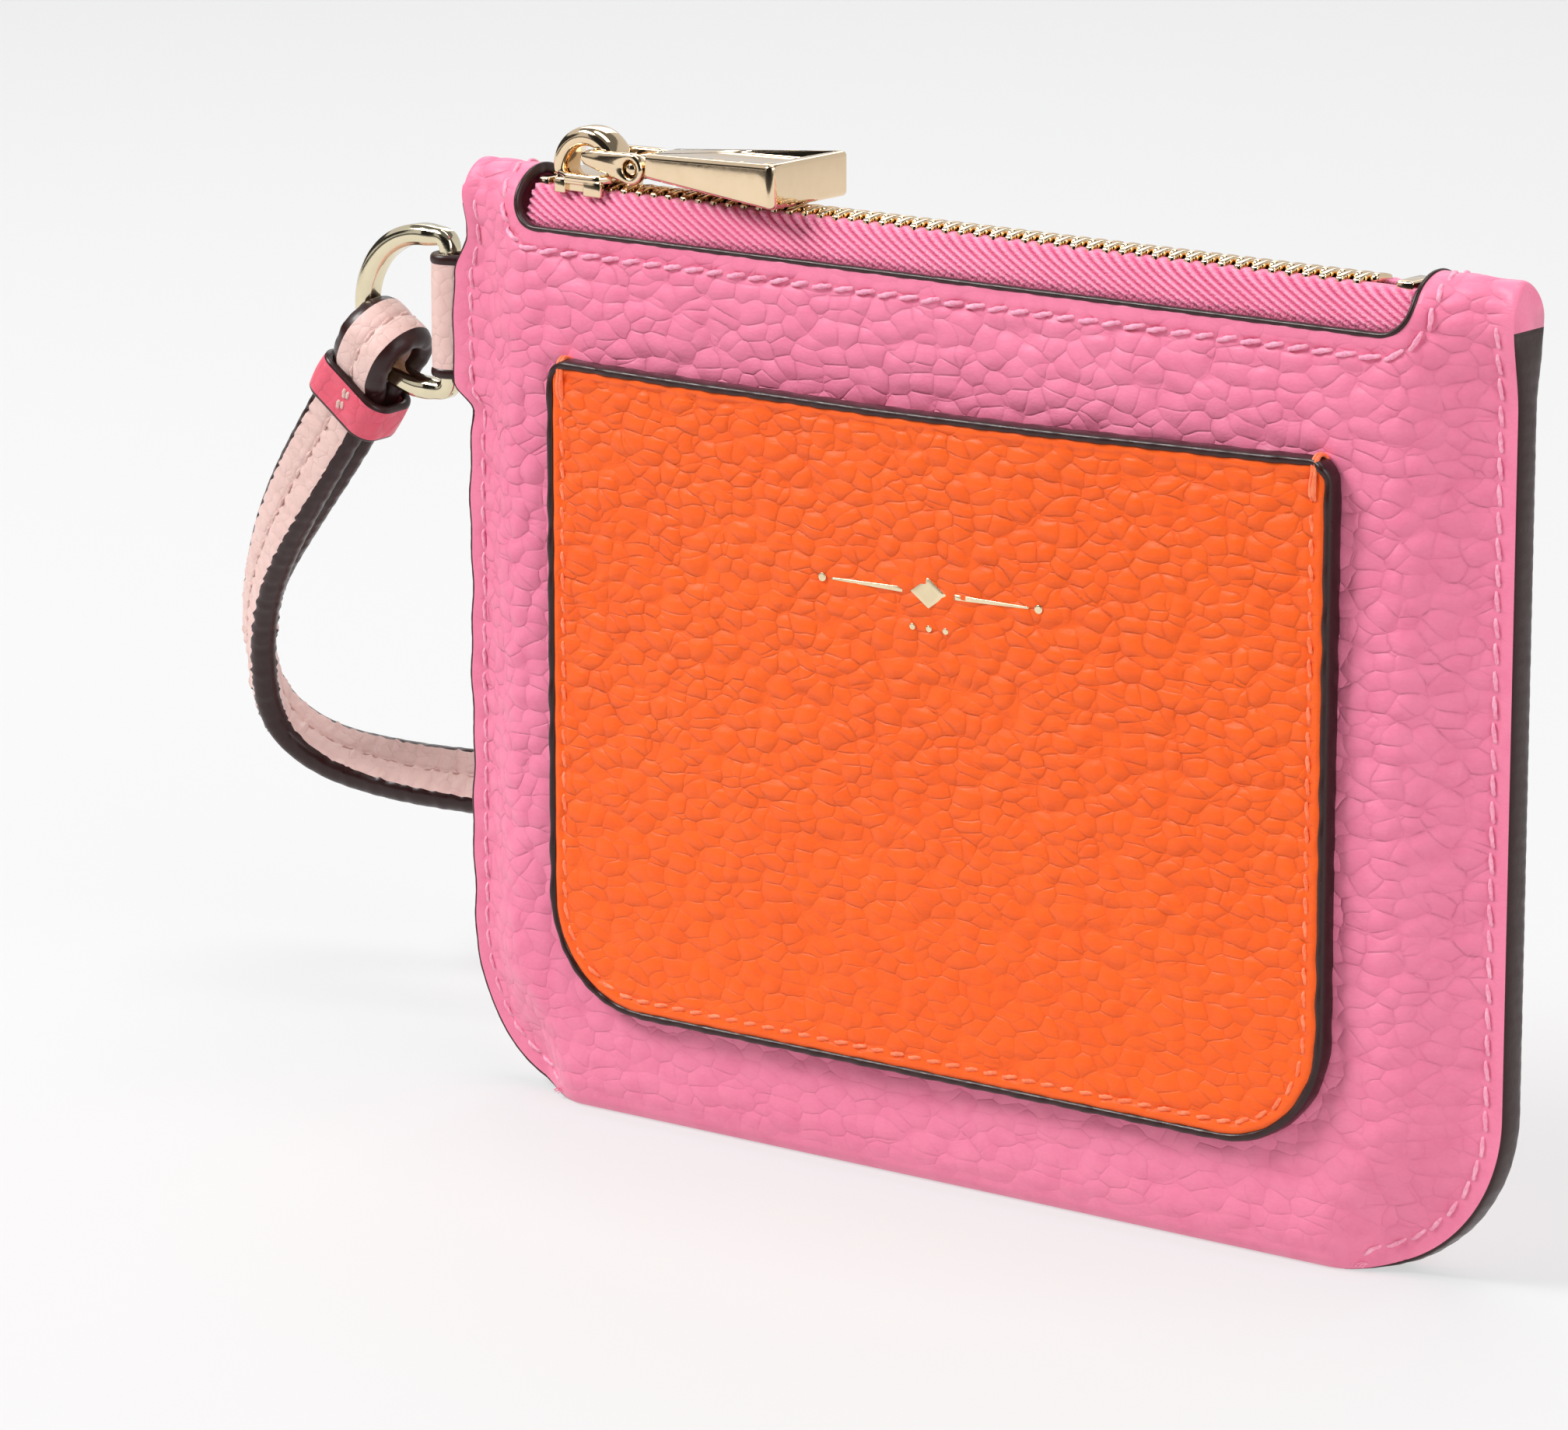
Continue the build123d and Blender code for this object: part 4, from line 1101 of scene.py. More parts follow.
def make_tape(side, name, node):
    c = bez([(1.05, 113.72), (1.9, 113.72), (2.55, 113.15), (3.15, 111.9), (3.72, 110.5), (4.1, 109.0), (4.28, 107.0),
             (4.28, 104.8), (4.25, 102.6)], 10)
    c = resample(c, 0.19)
    t = unit(np.gradient(c, axis=0))
    n = np.stack([-t[:, 1], t[:, 0]], 1)
    if n[:, 0].mean() < 0:
        n = -n
    s = np.r_[0, np.cumsum(np.linalg.norm(np.diff(c, axis=0), axis=1))]
    X = np.arange(-63.2, 63.21, 0.2)
    XX, SS = np.meshgrid(X, s, indexing="ij")
    ph = XX / 1.64 - (SS * 0.75 + 0.055 * SS * SS) * side * -1.0 / 1.0 * (1 if side < 0 else -1)
    body_part = sm((SS - 1.0) / 0.6) * sm((6.4 - SS) / 1.2)
    rib = np.abs(np.sin(math.pi * ph)) ** 1.1
    yarn = 0.5 + 0.5 * np.sin(2 * math.pi * (SS / 0.42 + 0.25 * XX))
    low = np.sin(2 * math.pi * XX / 0.95 + 3.1 * np.floor(SS / 0.55)) * sm((SS - 5.4) / 0.5)
    h = body_part * (0.50 * rib + 0.16 * yarn * rib) + 0.09 * low * sm((SS - 5.2) / 0.6) + 0.06 * yarn
    cord = 0.22 * np.exp(-(((SS - 1.3) / 0.5) ** 2)) * (0.6 + 0.4 * np.cos(2 * math.pi * (XX - (-57.2 + (0 if side < 0 else 1.14)) - 0.5) / 2.28 + math.pi))
    h = (h + cord) * sm((SS - 0.3) / 0.5)
    T_ = 0.27
    ny = n[:, 0][None, :] * side
    nz = n[:, 1][None, :]
    y = c[:, 0][None, :] * side
    zc = c[:, 1][None, :]
    top = np.stack([XX, y + ny * (T_ + h), zc + nz * (T_ + h)], -1)
    bot = np.stack([XX, y - ny * T_ + 0 * XX, zc - nz * T_ + 0 * XX], -1)
    nx, ns = XX.shape
    v = np.concatenate([top.reshape(-1, 3), bot.reshape(-1, 3)])
    off = nx * ns
    idx = np.arange(off).reshape(nx, ns)
    q = np.stack([idx[:-1, :-1], idx[1:, :-1], idx[1:, 1:], idx[:-1, 1:]], -1).reshape(-1, 4)
    f = [tuple(r) for r in q.tolist()] + [tuple(k + off for k in r[::-1]) for r in q.tolist()]
    b = list(idx[:, 0]) + list(idx[-1, 1:]) + list(idx[-2::-1, -1]) + list(idx[0, -2:0:-1])
    for k in range(len(b)):
        a_, b_ = int(b[k]), int(b[(k + 1) % len(b)])
        f.append((b_, a_, a_ + off, b_ + off))
    ob = add_mesh(name, v, f, TAPE)
    # Painted shade and painted highlight for the tape: the rib height, low in the valleys and high on the crests, goes
    # into the 'grain' attribute that darkens and lightens the tape's colour.
    tape_rib_shade = body_part * (rib + 0.25 * (yarn - 0.5)) + (1 - body_part) * (0.6 + 0.25 * low)
    set_grain_and_shade_attr(ob, np.r_[tape_rib_shade.ravel(), np.full(off, 0.5)])
    place(ob, "wallet", "zip_tape", node)


make_tape(-1, "zip_tape_front_cloth", "zip_tape_front")
make_tape(1, "zip_tape_back_cloth", "zip_tape_back")


# ------------------------------------------------------------------ teeth and stops
def rrect(w, z0, z1, r, n=3):
    pts = []
    for cx, cz, a0 in ((w / 2 - r, z1 - r, 0), (-w / 2 + r, z1 - r, 90), (-w / 2 + r, z0 + r, 180), (w / 2 - r, z0 + r, 270)):
        for k in range(n + 1):
            a = math.radians(a0 + 90 * k / n)
            pts.append((cx + r * math.cos(a), cz + r * math.sin(a)))
    return pts


def tooth_mesh(x, side, width=0.98):
    """Leg outside, waist, and a domed head past the middle of the chain."""
    rings = []
    for y, w, z0, z1, r in (
        (2.56, 0.72, 112.95, 114.20, 0.14), (2.50, 0.92, 112.80, 114.36, 0.18), (2.28, 1.0, 112.74, 114.50, 0.2),
        (1.65, 1.0, 112.72, 114.66, 0.24), (1.30, 0.96, 112.75, 114.74, 0.26), (0.85, 0.84, 112.9, 114.78, 0.26),
        (0.40, 0.90, 112.95, 114.82, 0.30), (-0.05, 1.04, 112.95, 114.84, 0.34), (-0.45, 1.00, 113.0, 114.76, 0.34),
        (-0.66, 0.78, 113.15, 114.58, 0.3), (-0.72, 0.46, 113.4, 114.3, 0.2)
    ):
        rings.append([(x + a * width, side * y, z) for a, z in rrect(w, z0, z1, r)])
    return loft(rings)


for side, x0, name, node in ((-1, -57.2 + 0.525, "zip_teeth_front_row", "zip_teeth_front"),
                             (1, -57.2 + 0.525 + 1.14, "zip_teeth_back_row", "zip_teeth_back")):
    tp = Parts()
    for k in range(50):
        v, f = tooth_mesh(x0 + 2.28 * k, side)
        tp.add(v, f)
    ob = tp.build(name, GOLD)
    place(ob, "wallet", "gold_metal", node)

tp = Parts()
for side in (-1, 1):
    y0, y1 = sorted((side * 0.35, side * 2.5))
    tp.add(*box_bevel(-63.0, -61.4, y0, y1, 112.72, 114.78, 0.30))
ob = tp.build("zip_top_stop_pair", GOLD)
place(ob, "wallet", "gold_metal", "zip_top_stops")
tp = Parts()
tp.add(*box_bevel(60.2, 62.6, -2.45, 2.45, 112.6, 114.8, 0.35))
ob = tp.build("zip_bottom_stop_clip", GOLD)
place(ob, "wallet", "gold_metal", "zip_bottom_stop")

# ------------------------------------------------------------------ slider
sp = Parts()
o = rounded_poly([(-61.0, 0), (-59.6, 3.1), (-57.6, 4.25), (-52.4, 4.25), (-51.5, 2.6), (-51.5, -2.6), (-52.4, -4.25),
                  (-57.6, -4.25), (-59.6, -3.1)], [1.0, 1.2, 1.2, 0.9, 0.8, 0.8, 0.9, 1.2, 1.2], 6)
o = densify(o, 0.8)
lv = [(0.30, 114.93), (0.12, 114.96), (0.02, 115.06), (0.0, 115.2), (0.0, 115.62), (0.05, 115.78), (0.16, 115.9),
      (0.34, 115.96), (0.42, 115.97)]
sp.add(*plate_from_outline(o, lv))
for s in (-1, 1):
    def yy(a, b):
        return sorted((s * a, s * b))
    sp.add(*box_bevel(-59.2, -57.5, *yy(3.35, 4.22), 113.45, 115.3, 0.22))
    sp.add(*box_bevel(-57.9, -54.4, *yy(3.35, 3.72), 113.75, 115.3, 0.12))
    sp.add(*box_bevel(-58.6, -52.2, *yy(3.35, 4.18), 114.62, 115.35, 0.22))
    sp.add(*box_bevel(-54.8, -52.0, *yy(3.35, 4.24), 113.30, 115.3, 0.28))
sp.add(*box_bevel(-60.0, -58.4, -0.85, 0.85, 111.6, 115.3, 0.3))
sp.add(*plate_from_outline(rounded_poly([(-60.4, -1.9), (-51.9, -1.9), (-51.9, 1.9), (-60.4, 1.9)], [1.4] * 4, 6),
                           [(0.3, 111.0), (0.05, 111.1), (0, 111.3), (0, 112.0), (0.05, 112.2), (0.3, 112.3)]))
# bridge: a thick rounded arch
A = np.linspace(-0.10, math.pi + 0.10, 46)
cx, cz, ra, rb = -56.3, 115.75, 4.25, 4.34
P = np.stack([cx + ra * np.cos(A), 0 * A, cz + rb * np.sin(A)], 1)
T = tangents(P)
out = unit(np.stack([np.cos(A) / ra, 0 * A, np.sin(A) / rb], 1))
Yv = np.tile([0.0, 1.0, 0.0], (len(P), 1))
secs = []
for k, a in enumerate(A):
    crown = math.sin(max(min(a, math.pi), 0))
    secs.append(ellipse(1.95 + 0.12 * crown, 1.02 + 0.24 * crown, 28, 0.66))
sp.add(*sweep(P, Yv, out, np.array(secs)))
ob = sp.build("zip_slider", GOLD)
place(ob, "slider", "gold_metal", "slider_body")

# ------------------------------------------------------------------ link, pin and bar
LX, LZ, QX, QZ = -55.0, 117.9, -48.3, 117.1
lp = Parts()
NA_ = 72
ang = np.linspace(0, 2 * math.pi, NA_, endpoint=False)


def tear(a, ins):
    """Radius from the pin's centre to the plate's outline in direction a."""
    rb_, ra_ = 1.90 - ins, 0.95 - ins
    d = np.array([LX - QX, LZ - QZ])
    L_ = np.hypot(*d)
    u = d / L_
    w = np.array([-u[1], u[0]])
    s_ = (rb_ - ra_) / L_
    c_ = math.sqrt(1 - s_ * s_)
    best = rb_
    e = np.array([math.cos(a), math.sin(a)])
    for sg in (-1, 1):
        n_ = u * s_ + w * sg * c_
        den = e @ n_
        if den > 1e-6:
            t = rb_ / den
            p = e * t
            al = (p - n_ * rb_) @ (u * c_ - w * sg * s_)
            if 0 <= al <= L_ * c_:
                best = max(best, t) if best == rb_ else best
                return t
    if e @ u > 0:
        b = e @ d
        disc = b * b - (L_ * L_ - ra_ * ra_)
        if disc >= 0:
            return b + math.sqrt(disc)
    return best


for s in (-1, 1):
    y0, y1 = s * 2.0, s * 3.3
    prof = []
    hole = 1.12
    rows_ = [("h", hole + 0.12, y0), ("h", hole, y0 + s * 0.12), ("h", hole, y1 - s * 0.14), ("h", hole + 0.05, y1 - s * 0.04),
             ("h", hole + 0.14, y1), ("o", 0.34, y1), ("o", 0.20, y1 - s * 0.03), ("o", 0.06, y1 - s * 0.14),
             ("o", 0.0, y1 - s * 0.32), ("o", 0.0, y0 + s * 0.32), ("o", 0.06, y0 + s * 0.14), ("o", 0.3, y0)]
    rings = []
    for kind, val, y in rows_:
        r_ = [val if kind == "h" else tear(a, val) for a in ang]
        rings.append(np.stack([QX + np.array(r_) * np.cos(ang), np.full(NA_, y), QZ + np.array(r_) * np.sin(ang)], 1))
    v, f = loft(rings, True, False, True)
    lp.add(v, f)
lp.add(*lathe_y(LX, LZ, [(0.3, -2.3), (0.85, -2.2), (0.85, 2.2), (0.3, 2.3)], 24))
ob = lp.build("puller_yoke", GOLD)
place(ob, "link", "gold_metal", "puller_link")
pn = Parts()
pn.add(*lathe_y(QX, QZ, [(0.15, -3.18), (0.45, -3.14), (0.68, -3.02), (0.79, -2.8), (0.8, -2.5), (0.8, 2.5), (0.79, 2.8),
                         (0.68, 3.02), (0.45, 3.14), (0.15, 3.18)], 32))
ob = pn.build("puller_pin", GOLD)
place(ob, "link", "gold_metal", "link_pin")

bp_ = Parts()
o = rounded_poly([(-46.2, -3.15), (-23.3, -7.7), (-23.3, 7.7), (-46.2, 3.15)], [0.55, 0.95, 0.95, 0.55], 8)
o = densify(o, 1.2)


def bt(dz):
    return lambda x, y: 119.1 + (120.45 - 119.1) * (x + 46.2) / 22.9 - dz


def bb(dz): return lambda x, y: 116.15 - 1.13 * (x + 46.2) / 22.9 + dz


lv = [(0.50, bb(0.0)), (0.42, bb(0.01)), (0.28, bb(0.07)), (0.12, bb(0.22)), (0.02, bb(0.44)), (0.0, bb(0.64)),
      (0.0, bt(0.62)), (0.02, bt(0.46)), (0.10, bt(0.26)), (0.26, bt(0.10)), (0.48, bt(0.02)), (0.58, bt(0.0)), (1.2, bt(0.0))]
bp_.add(*plate_from_outline(o, lv))
ob = bp_.build("puller_bar_block", GOLD)
# recess along the underside, which clears the crown of the leather at the zip's far end
cut = add_mesh("bar_recess_cutter", *box_bevel(-49.0, -25.0, -2.75, 2.75, 112.0, 116.62, 0.5), GOLD)
bo = ob.modifiers.new("recess", "BOOLEAN")
bo.operation = "DIFFERENCE"
bo.solver = "EXACT"
bo.object = cut
bake_mods(ob)
bpy.data.objects.remove(cut)
place(ob, "puller", "gold_metal", "puller_bar")
np_ = Parts()
np_.add(*lathe_y(QX, QZ, [(1.3, -1.8), (1.5, -1.65), (1.5, 1.65), (1.3, 1.8)], 32))
np_.add(*box_bevel(-48.2, -45.4, -1.75, 1.75, 116.5, 118.3, 0.3))
ob = np_.build("puller_bar_neck", GOLD)
place(ob, "puller", "gold_metal")

# ------------------------------------------------------------------ D-ring: faceted wire
RBX, RZ, RR, RAX = -79.2, 95.8, 9.6, -83.1
pts = []
for z in np.linspace(RZ - RR + 1.4, RZ + RR - 1.4, 24):
    pts.append((RBX, z))
for a in np.linspace(0, math.pi / 2, 8)[1:]:
    pts.append((RBX - 1.4 + 1.4 * math.cos(a), RZ + RR - 1.4 + 1.4 * math.sin(a)))
for x in np.linspace(RBX - 1.8, RAX, 5)[:-1]:
    pts.append((x, RZ + RR))
for a in np.linspace(math.pi / 2, 3 * math.pi / 2, 64):
    pts.append((RAX + RR * math.cos(a), RZ + RR * math.sin(a)))
for x in np.linspace(RAX, RBX - 1.8, 5)[1:]:
    pts.append((x, RZ - RR))
for a in np.linspace(-math.pi / 2, 0, 8)[:-1]:
    pts.append((RBX - 1.4 + 1.4 * math.cos(a), RZ - RR + 1.4 + 1.4 * math.sin(a)))
pts = np.array(pts)
P = resample(np.stack([pts[:, 0], 0 * pts[:, 0], pts[:, 1]], 1), 0.35, True)
T = tangents(P, True)
Yv = np.tile([0.0, 1.0, 0.0], (len(P), 1))
out = unit(np.cross(T, Yv))
if np.sum(out * (P - P.mean(0))) < 0:
    out = -out
hx, hy, ch = 1.30, 1.50, 0.56
octo = []
cor = [(hx, hy), (-hx, hy), (-hx, -hy), (hx, -hy)]
for i, (a, b) in enumerate(cor):
    sa, sb = np.sign(a), np.sign(b)
    c1 = (a - sa * ch, b) if i % 2 else (a, b - sb * ch)
    c2 = (a, b - sb * ch) if i % 2 else (a - sa * ch, b)
    octo += [c1, c2]
fac = []
for i in range(8):
    a, b, c = (np.array(octo[(i + k) % 8]) for k in (-1, 0, 1))
    fac += [b + unit(a - b) * 0.10, b + unit(a - b) * 0.03 + unit(c - b) * 0.03 - unit(b) * 0.012, b + unit(c - b) * 0.10]
slim = sm((P[:, 0] - (RBX - 3.6)) / 2.2)[:, None]      # the straight bar is slimmer, inside its tab
secs = np.array(fac)[None] * np.stack([1 - 0.14 * slim, 1 - 0.15 * slim], 2).reshape(len(P), 1, 2)
v, f = sweep(P, out, Yv, secs, closed=True)
ob = add_mesh("d_ring_wire", v, f, RINGM)
place(ob, "ring", "gold_metal", "d_ring")

# ------------------------------------------------------------------ D-ring tab: a leather loop round the ring's bar
def tab_outline(grow=0.0):
    """Outer line of the loop in x, y, from the seam round the bar and back."""
    q = [(-70.9, -0.78 - grow), (-73.5, -0.82 - grow), (-75.4, -1.0 - grow)]
    for a in np.linspace(math.radians(232), math.radians(128), 17)[::-1]:
        pass
    r = 2.45 + grow
    for a in np.linspace(math.radians(-68), math.radians(-292), 30):
        q.append((RBX + r * math.cos(a), r * math.sin(a)))
    q += [(-75.4, 1.0 + grow), (-73.5, 0.82 + grow), (-70.9, 0.78 + grow)]
    return np.array(q)


q = tab_outline()
q = resample(q, 0.28)
for _ in range(6):
    q[1:-1] = (q[:-2] + 2 * q[1:-1] + q[2:]) / 4
t2 = unit(np.gradient(q, axis=0))
nrm2 = np.stack([t2[:, 1], -t2[:, 0]], 1)
if np.sum(nrm2 * (q - np.array([RBX, 0]))) < 0:
    nrm2 = -nrm2
zz = np.linspace(89.0, 102.6, 40)
rings = []
for i in range(len(q)):
    near = abs(q[i][1]) > 0.9 or q[i][0] < -76.5
    th_ = 1.05 if near else 0.72
    o_ = [(q[i][0] + nrm2[i][0] * b, q[i][1] + nrm2[i][1] * b, z) for z, b in
          [(z, -0.06 * (abs(z - 95.8) / 6.8) ** 6) for z in zz]]
    i_ = [(q[i][0] - nrm2[i][0] * th_, q[i][1] - nrm2[i][1] * th_, z) for z in zz[::-1]]
    rings.append(np.array(o_ + i_))
v, f = loft(rings)
ob = add_mesh("d_ring_tab_loop", v, f, PALE)
ob.data.validate()
place(ob, "wallet", "strap_leather", "d_ring_tab")
tp = Parts()
for zr_, sg in ((89.0, -1), (102.6, 1)):
    P = np.column_stack([q - nrm2 * 0.5, np.full(len(q), zr_)])
    A_ = np.column_stack([nrm2, np.zeros(len(q))])
    B_ = np.tile([0.0, 0.0, 1.0], (len(q), 1))
    keep = slice(4, len(q) - 4)
    tp.add(*sweep(P[keep] + np.array([0.0, 0.0, 0.25 * sg]), A_[keep], B_[keep], ellipse(0.62, 0.72, 16, 0.85)))
ob = tp.build("tab_edge_paint", EDGE)
place(ob, "wallet", "strap_leather")


# ------------------------------------------------------------------ wrist strap: middle line and width direction, as in the CAD
STATIONS = np.array([
    [-96.71, 1.5, 84.17, 0.69, -0, -0.724],
    [-94.32, 1.5, 86.45, 0.69, -0, -0.724],
    [-93.16, 1.7, 87.55, 0.69, -0, -0.724],
    [-91.79, 2.9, 88.87, 0.69, 0, -0.724],
    [-89.76, 3.5, 90.8, 0.69, 0, -0.724],
    [-88.49, 3.03, 92, 0.69, -0, -0.724],
    [-87.56, 1.75, 92.89, 0.69, 0, -0.724],
    [-87.23, 0, 93.21, 0.69, -0, -0.724],
    [-87.56, -1.75, 92.89, 0.69, 0, -0.724],
    [-88.49, -3.03, 92, 0.69, -0, -0.724],
    [-89.76, -3.5, 90.8, 0.69, 0, -0.724],
    [-91.79, -2.9, 88.87, 0.689, 0.001, -0.725],
    [-93.16, -1.7, 87.55, 0.693, -0.002, -0.721],
    [-94.32, -1.5, 86.45, 0.68, 0, -0.733],
    [-96.71, -1.5, 84.17, 0.7, 0, -0.714],
    [-99.07, -1.19, 80.46, 0.76, -0.07, -0.646],
    [-100.86, -0.49, 76.19, 0.74, -0.187, -0.646],
    [-102.87, 0.45, 72.1, 0.7, -0.284, -0.655],
    [-105.61, 1.52, 68.57, 0.61, -0.392, -0.688],
    [-108.73, 2.69, 65.36, 0.527, -0.469, -0.709],
    [-111.78, 3.99, 62.15, 0.533, -0.493, -0.687],
    [-114.6, 5.44, 58.83, 0.57, -0.475, -0.67],
    [-117.17, 7.08, 55.37, 0.608, -0.462, -0.646],
    [-119.4, 8.87, 51.75, 0.642, -0.494, -0.587],
    [-121.12, 10.67, 47.94, 0.658, -0.558, -0.505],
    [-122.42, 12.58, 43.94, 0.628, -0.608, -0.486],
    [-123.42, 14.79, 39.82, 0.599, -0.656, -0.459],
    [-123.05, 17.09, 35.96, 0.518, -0.811, -0.272],
    [-120.33, 19.12, 32.86, 0.279, -0.92, -0.274],
    [-116.37, 20.79, 30.94, 0.186, -0.894, -0.407],
    [-112.05, 22.06, 30.03, 0.131, -0.843, -0.522],
    [-107.58, 23, 29.55, 0.104, -0.786, -0.609],
    [-103.06, 23.87, 29.32, 0.129, -0.734, -0.666],
    [-98.56, 24.81, 29.25, 0.139, -0.685, -0.715],
    [-94.05, 25.72, 29.26, 0.123, -0.605, -0.787],
    [-89.55, 26.65, 29.24, 0.094, -0.497, -0.862],
    [-85.08, 27.74, 29.07, 0.06, -0.401, -0.914],
    [-80.73, 29.21, 28.76, 0.051, -0.319, -0.947],
    [-76.62, 31.36, 28.36, 0.053, -0.237, -0.97],
    [-73.21, 34.46, 27.92, 0.061, -0.17, -0.984],
    [-71.22, 38.68, 27.45, 0.089, -0.124, -0.988],
    [-71.28, 43.29, 26.97, 0.122, -0.072, -0.99],
    [-73.65, 47.26, 26.51, 0.153, 0.021, -0.988],
    [-77.47, 50.01, 26.12, 0.118, 0.083, -0.99],
    [-81.9, 51.33, 25.83, 0.058, 0.004, -0.998],
    [-86.56, 51.46, 25.57, 0.065, -0.114, -0.991],
    [-91.16, 50.66, 25.3, 0.11, -0.19, -0.976],
    [-95.45, 48.93, 25.07, 0.182, -0.252, -0.951],
    [-99.21, 46.29, 24.93, 0.283, -0.305, -0.909],
    [-102.57, 43.08, 24.92, 0.359, -0.371, -0.856],
    [-105.94, 39.92, 25.02, 0.367, -0.481, -0.796],
    [-109.71, 37.41, 25.23, 0.263, -0.628, -0.733],
    [-113.98, 35.7, 25.57, 0.189, -0.718, -0.67],
    [-118.3, 34.12, 26.08, 0.208, -0.766, -0.608],
    [-122.44, 32.33, 26.89, 0.26, -0.81, -0.526],
    [-126.31, 30.25, 28.27, 0.3, -0.856, -0.422],
    [-129.61, 27.95, 30.74, 0.401, -0.859, -0.318],
    [-131.33, 25.47, 34.11, 0.581, -0.704, -0.409],
    [-130.92, 22.9, 37.88, 0.587, -0.589, -0.555],
    [-129.53, 20.49, 41.76, 0.601, -0.564, -0.566],
    [-127.94, 18.33, 45.52, 0.62, -0.52, -0.587],
    [-126.04, 16.21, 49.06, 0.596, -0.45, -0.666],
    [-123.67, 14, 52.33, 0.552, -0.407, -0.728],
    [-120.98, 11.87, 55.43, 0.519, -0.411, -0.749],
    [-118.11, 9.94, 58.46, 0.492, -0.443, -0.749],
    [-115.12, 8.18, 61.48, 0.481, -0.468, -0.741],
    [-112.08, 6.55, 64.53, 0.508, -0.453, -0.733],
    [-109.05, 5.04, 67.66, 0.58, -0.383, -0.72],
    [-106.08, 3.73, 70.91, 0.671, -0.274, -0.689],
    [-103.22, 2.66, 74.33, 0.754, -0.155, -0.638],
    [-100.52, 1.9, 77.96, 0.78, -0.03, -0.625],
    [-98.04, 1.52, 81.86, 0.76, 0.005, -0.65],
    [-96.82, 1.5, 84.07, 0.72, 0, -0.694],
])
STRAP_W, STRAP_T = 8.6, 2.7


def spline(p, n):
    p = np.vstack([2 * p[0] - p[1], p, 2 * p[-1] - p[-2]])
    out = []
    for i in range(1, len(p) - 2):
        m = max(2, int(np.linalg.norm(p[i + 1, :3] - p[i, :3]) / n))
        for t in np.linspace(0, 1, m, endpoint=False):
            a, b, c, d = p[i - 1], p[i], p[i + 1], p[i + 2]
            out.append(0.5 * (2 * b + (c - a) * t + (2 * a - 5 * b + 4 * c - d) * t * t + (3 * b - a - 3 * c + d) * t ** 3))
    out.append(p[-2])
    return np.array(out)


# the keeper and the fold sit a little steeper than the plain CAD band
TURN = math.radians(12)
WIRE = np.array([-90.7, 0.0, 89.9])


def turned(p, ang):
    c_, s_ = np.cos(ang), np.sin(ang)
    return np.stack([p[..., 0] * c_ - p[..., 2] * s_, p[..., 1], p[..., 0] * s_ + p[..., 2] * c_], -1)


dist_ = np.linalg.norm(STATIONS[:, :3] - WIRE, axis=1)
turn_ = TURN * (1 - sm((dist_ - 9) / 24))
STATIONS = np.hstack([WIRE + turned(STATIONS[:, :3] - WIRE, turn_), turned(STATIONS[:, 3:], turn_)])
def eased(rows, i, j, di, dj):
    """One smooth curve between rows i and j, which leave and arrive along di and dj."""
    a, b = rows[i], rows[j]
    L = np.linalg.norm(b[:3] - a[:3])
    t = np.linspace(0, 1, abs(j - i) + 1)[:, None]
    h0, h1, h2, h3 = 2 * t ** 3 - 3 * t ** 2 + 1, t ** 3 - 2 * t ** 2 + t, -2 * t ** 3 + 3 * t ** 2, t ** 3 - t ** 2
    p = h0 * a[:3] + h1 * di * L + h2 * b[:3] + h3 * dj * L
    w = unit(a[3:] * (1 - sm(t)) + b[3:] * sm(t))
    return np.hstack([p, w])


K_AXIS = turned(unit(np.array([0.724, 0.0, 0.69])), TURN)
NS = len(STATIONS)
A0, A1 = 14, 23
STATIONS[A0:A1 + 1] = eased(STATIONS, A0, A1, -K_AXIS, unit(STATIONS[A1 + 1, :3] - STATIONS[A1 - 1, :3]))
B0 = NS - 10
STATIONS[B0:] = eased(STATIONS, B0, NS - 1, unit(STATIONS[B0 + 1, :3] - STATIONS[B0 - 1, :3]), K_AXIS)
st = spline(STATIONS, 0.30)
SP, SW = resample(st[:, :3], 0.45, False, (st[:, 3:],))
# smooth the width directions along the free part
for _ in range(40):
    SW[60:-30] = (SW[59:-31] + 2 * SW[60:-30] + SW[61:-29]) / 4
for _ in range(6):
    SP[70:-8] = (SP[69:-9] + 2 * SP[70:-8] + SP[71:-7]) / 4
STt = tangents(SP)
SW = unit(SW - STt * np.sum(SW * STt, 1, keepdims=True))
SN = np.cross(STt, SW)
S_len = np.r_[0, np.cumsum(np.linalg.norm(np.diff(SP, axis=0), axis=1))]
free = sm((S_len - 26) / 8)          # the creased, free part of the loop
hw, ht0 = STRAP_W / 2, STRAP_T / 2
thick_ = ht0 + 0.14 + 0.18 * free * sm((S_len[-1] - S_len - 14) / 10)
wf0 = np.linspace(-1, 1, 33)
ta = np.linspace(math.pi / 2, -math.pi / 2, 11)[1:-1]
rings, kinds = [], None
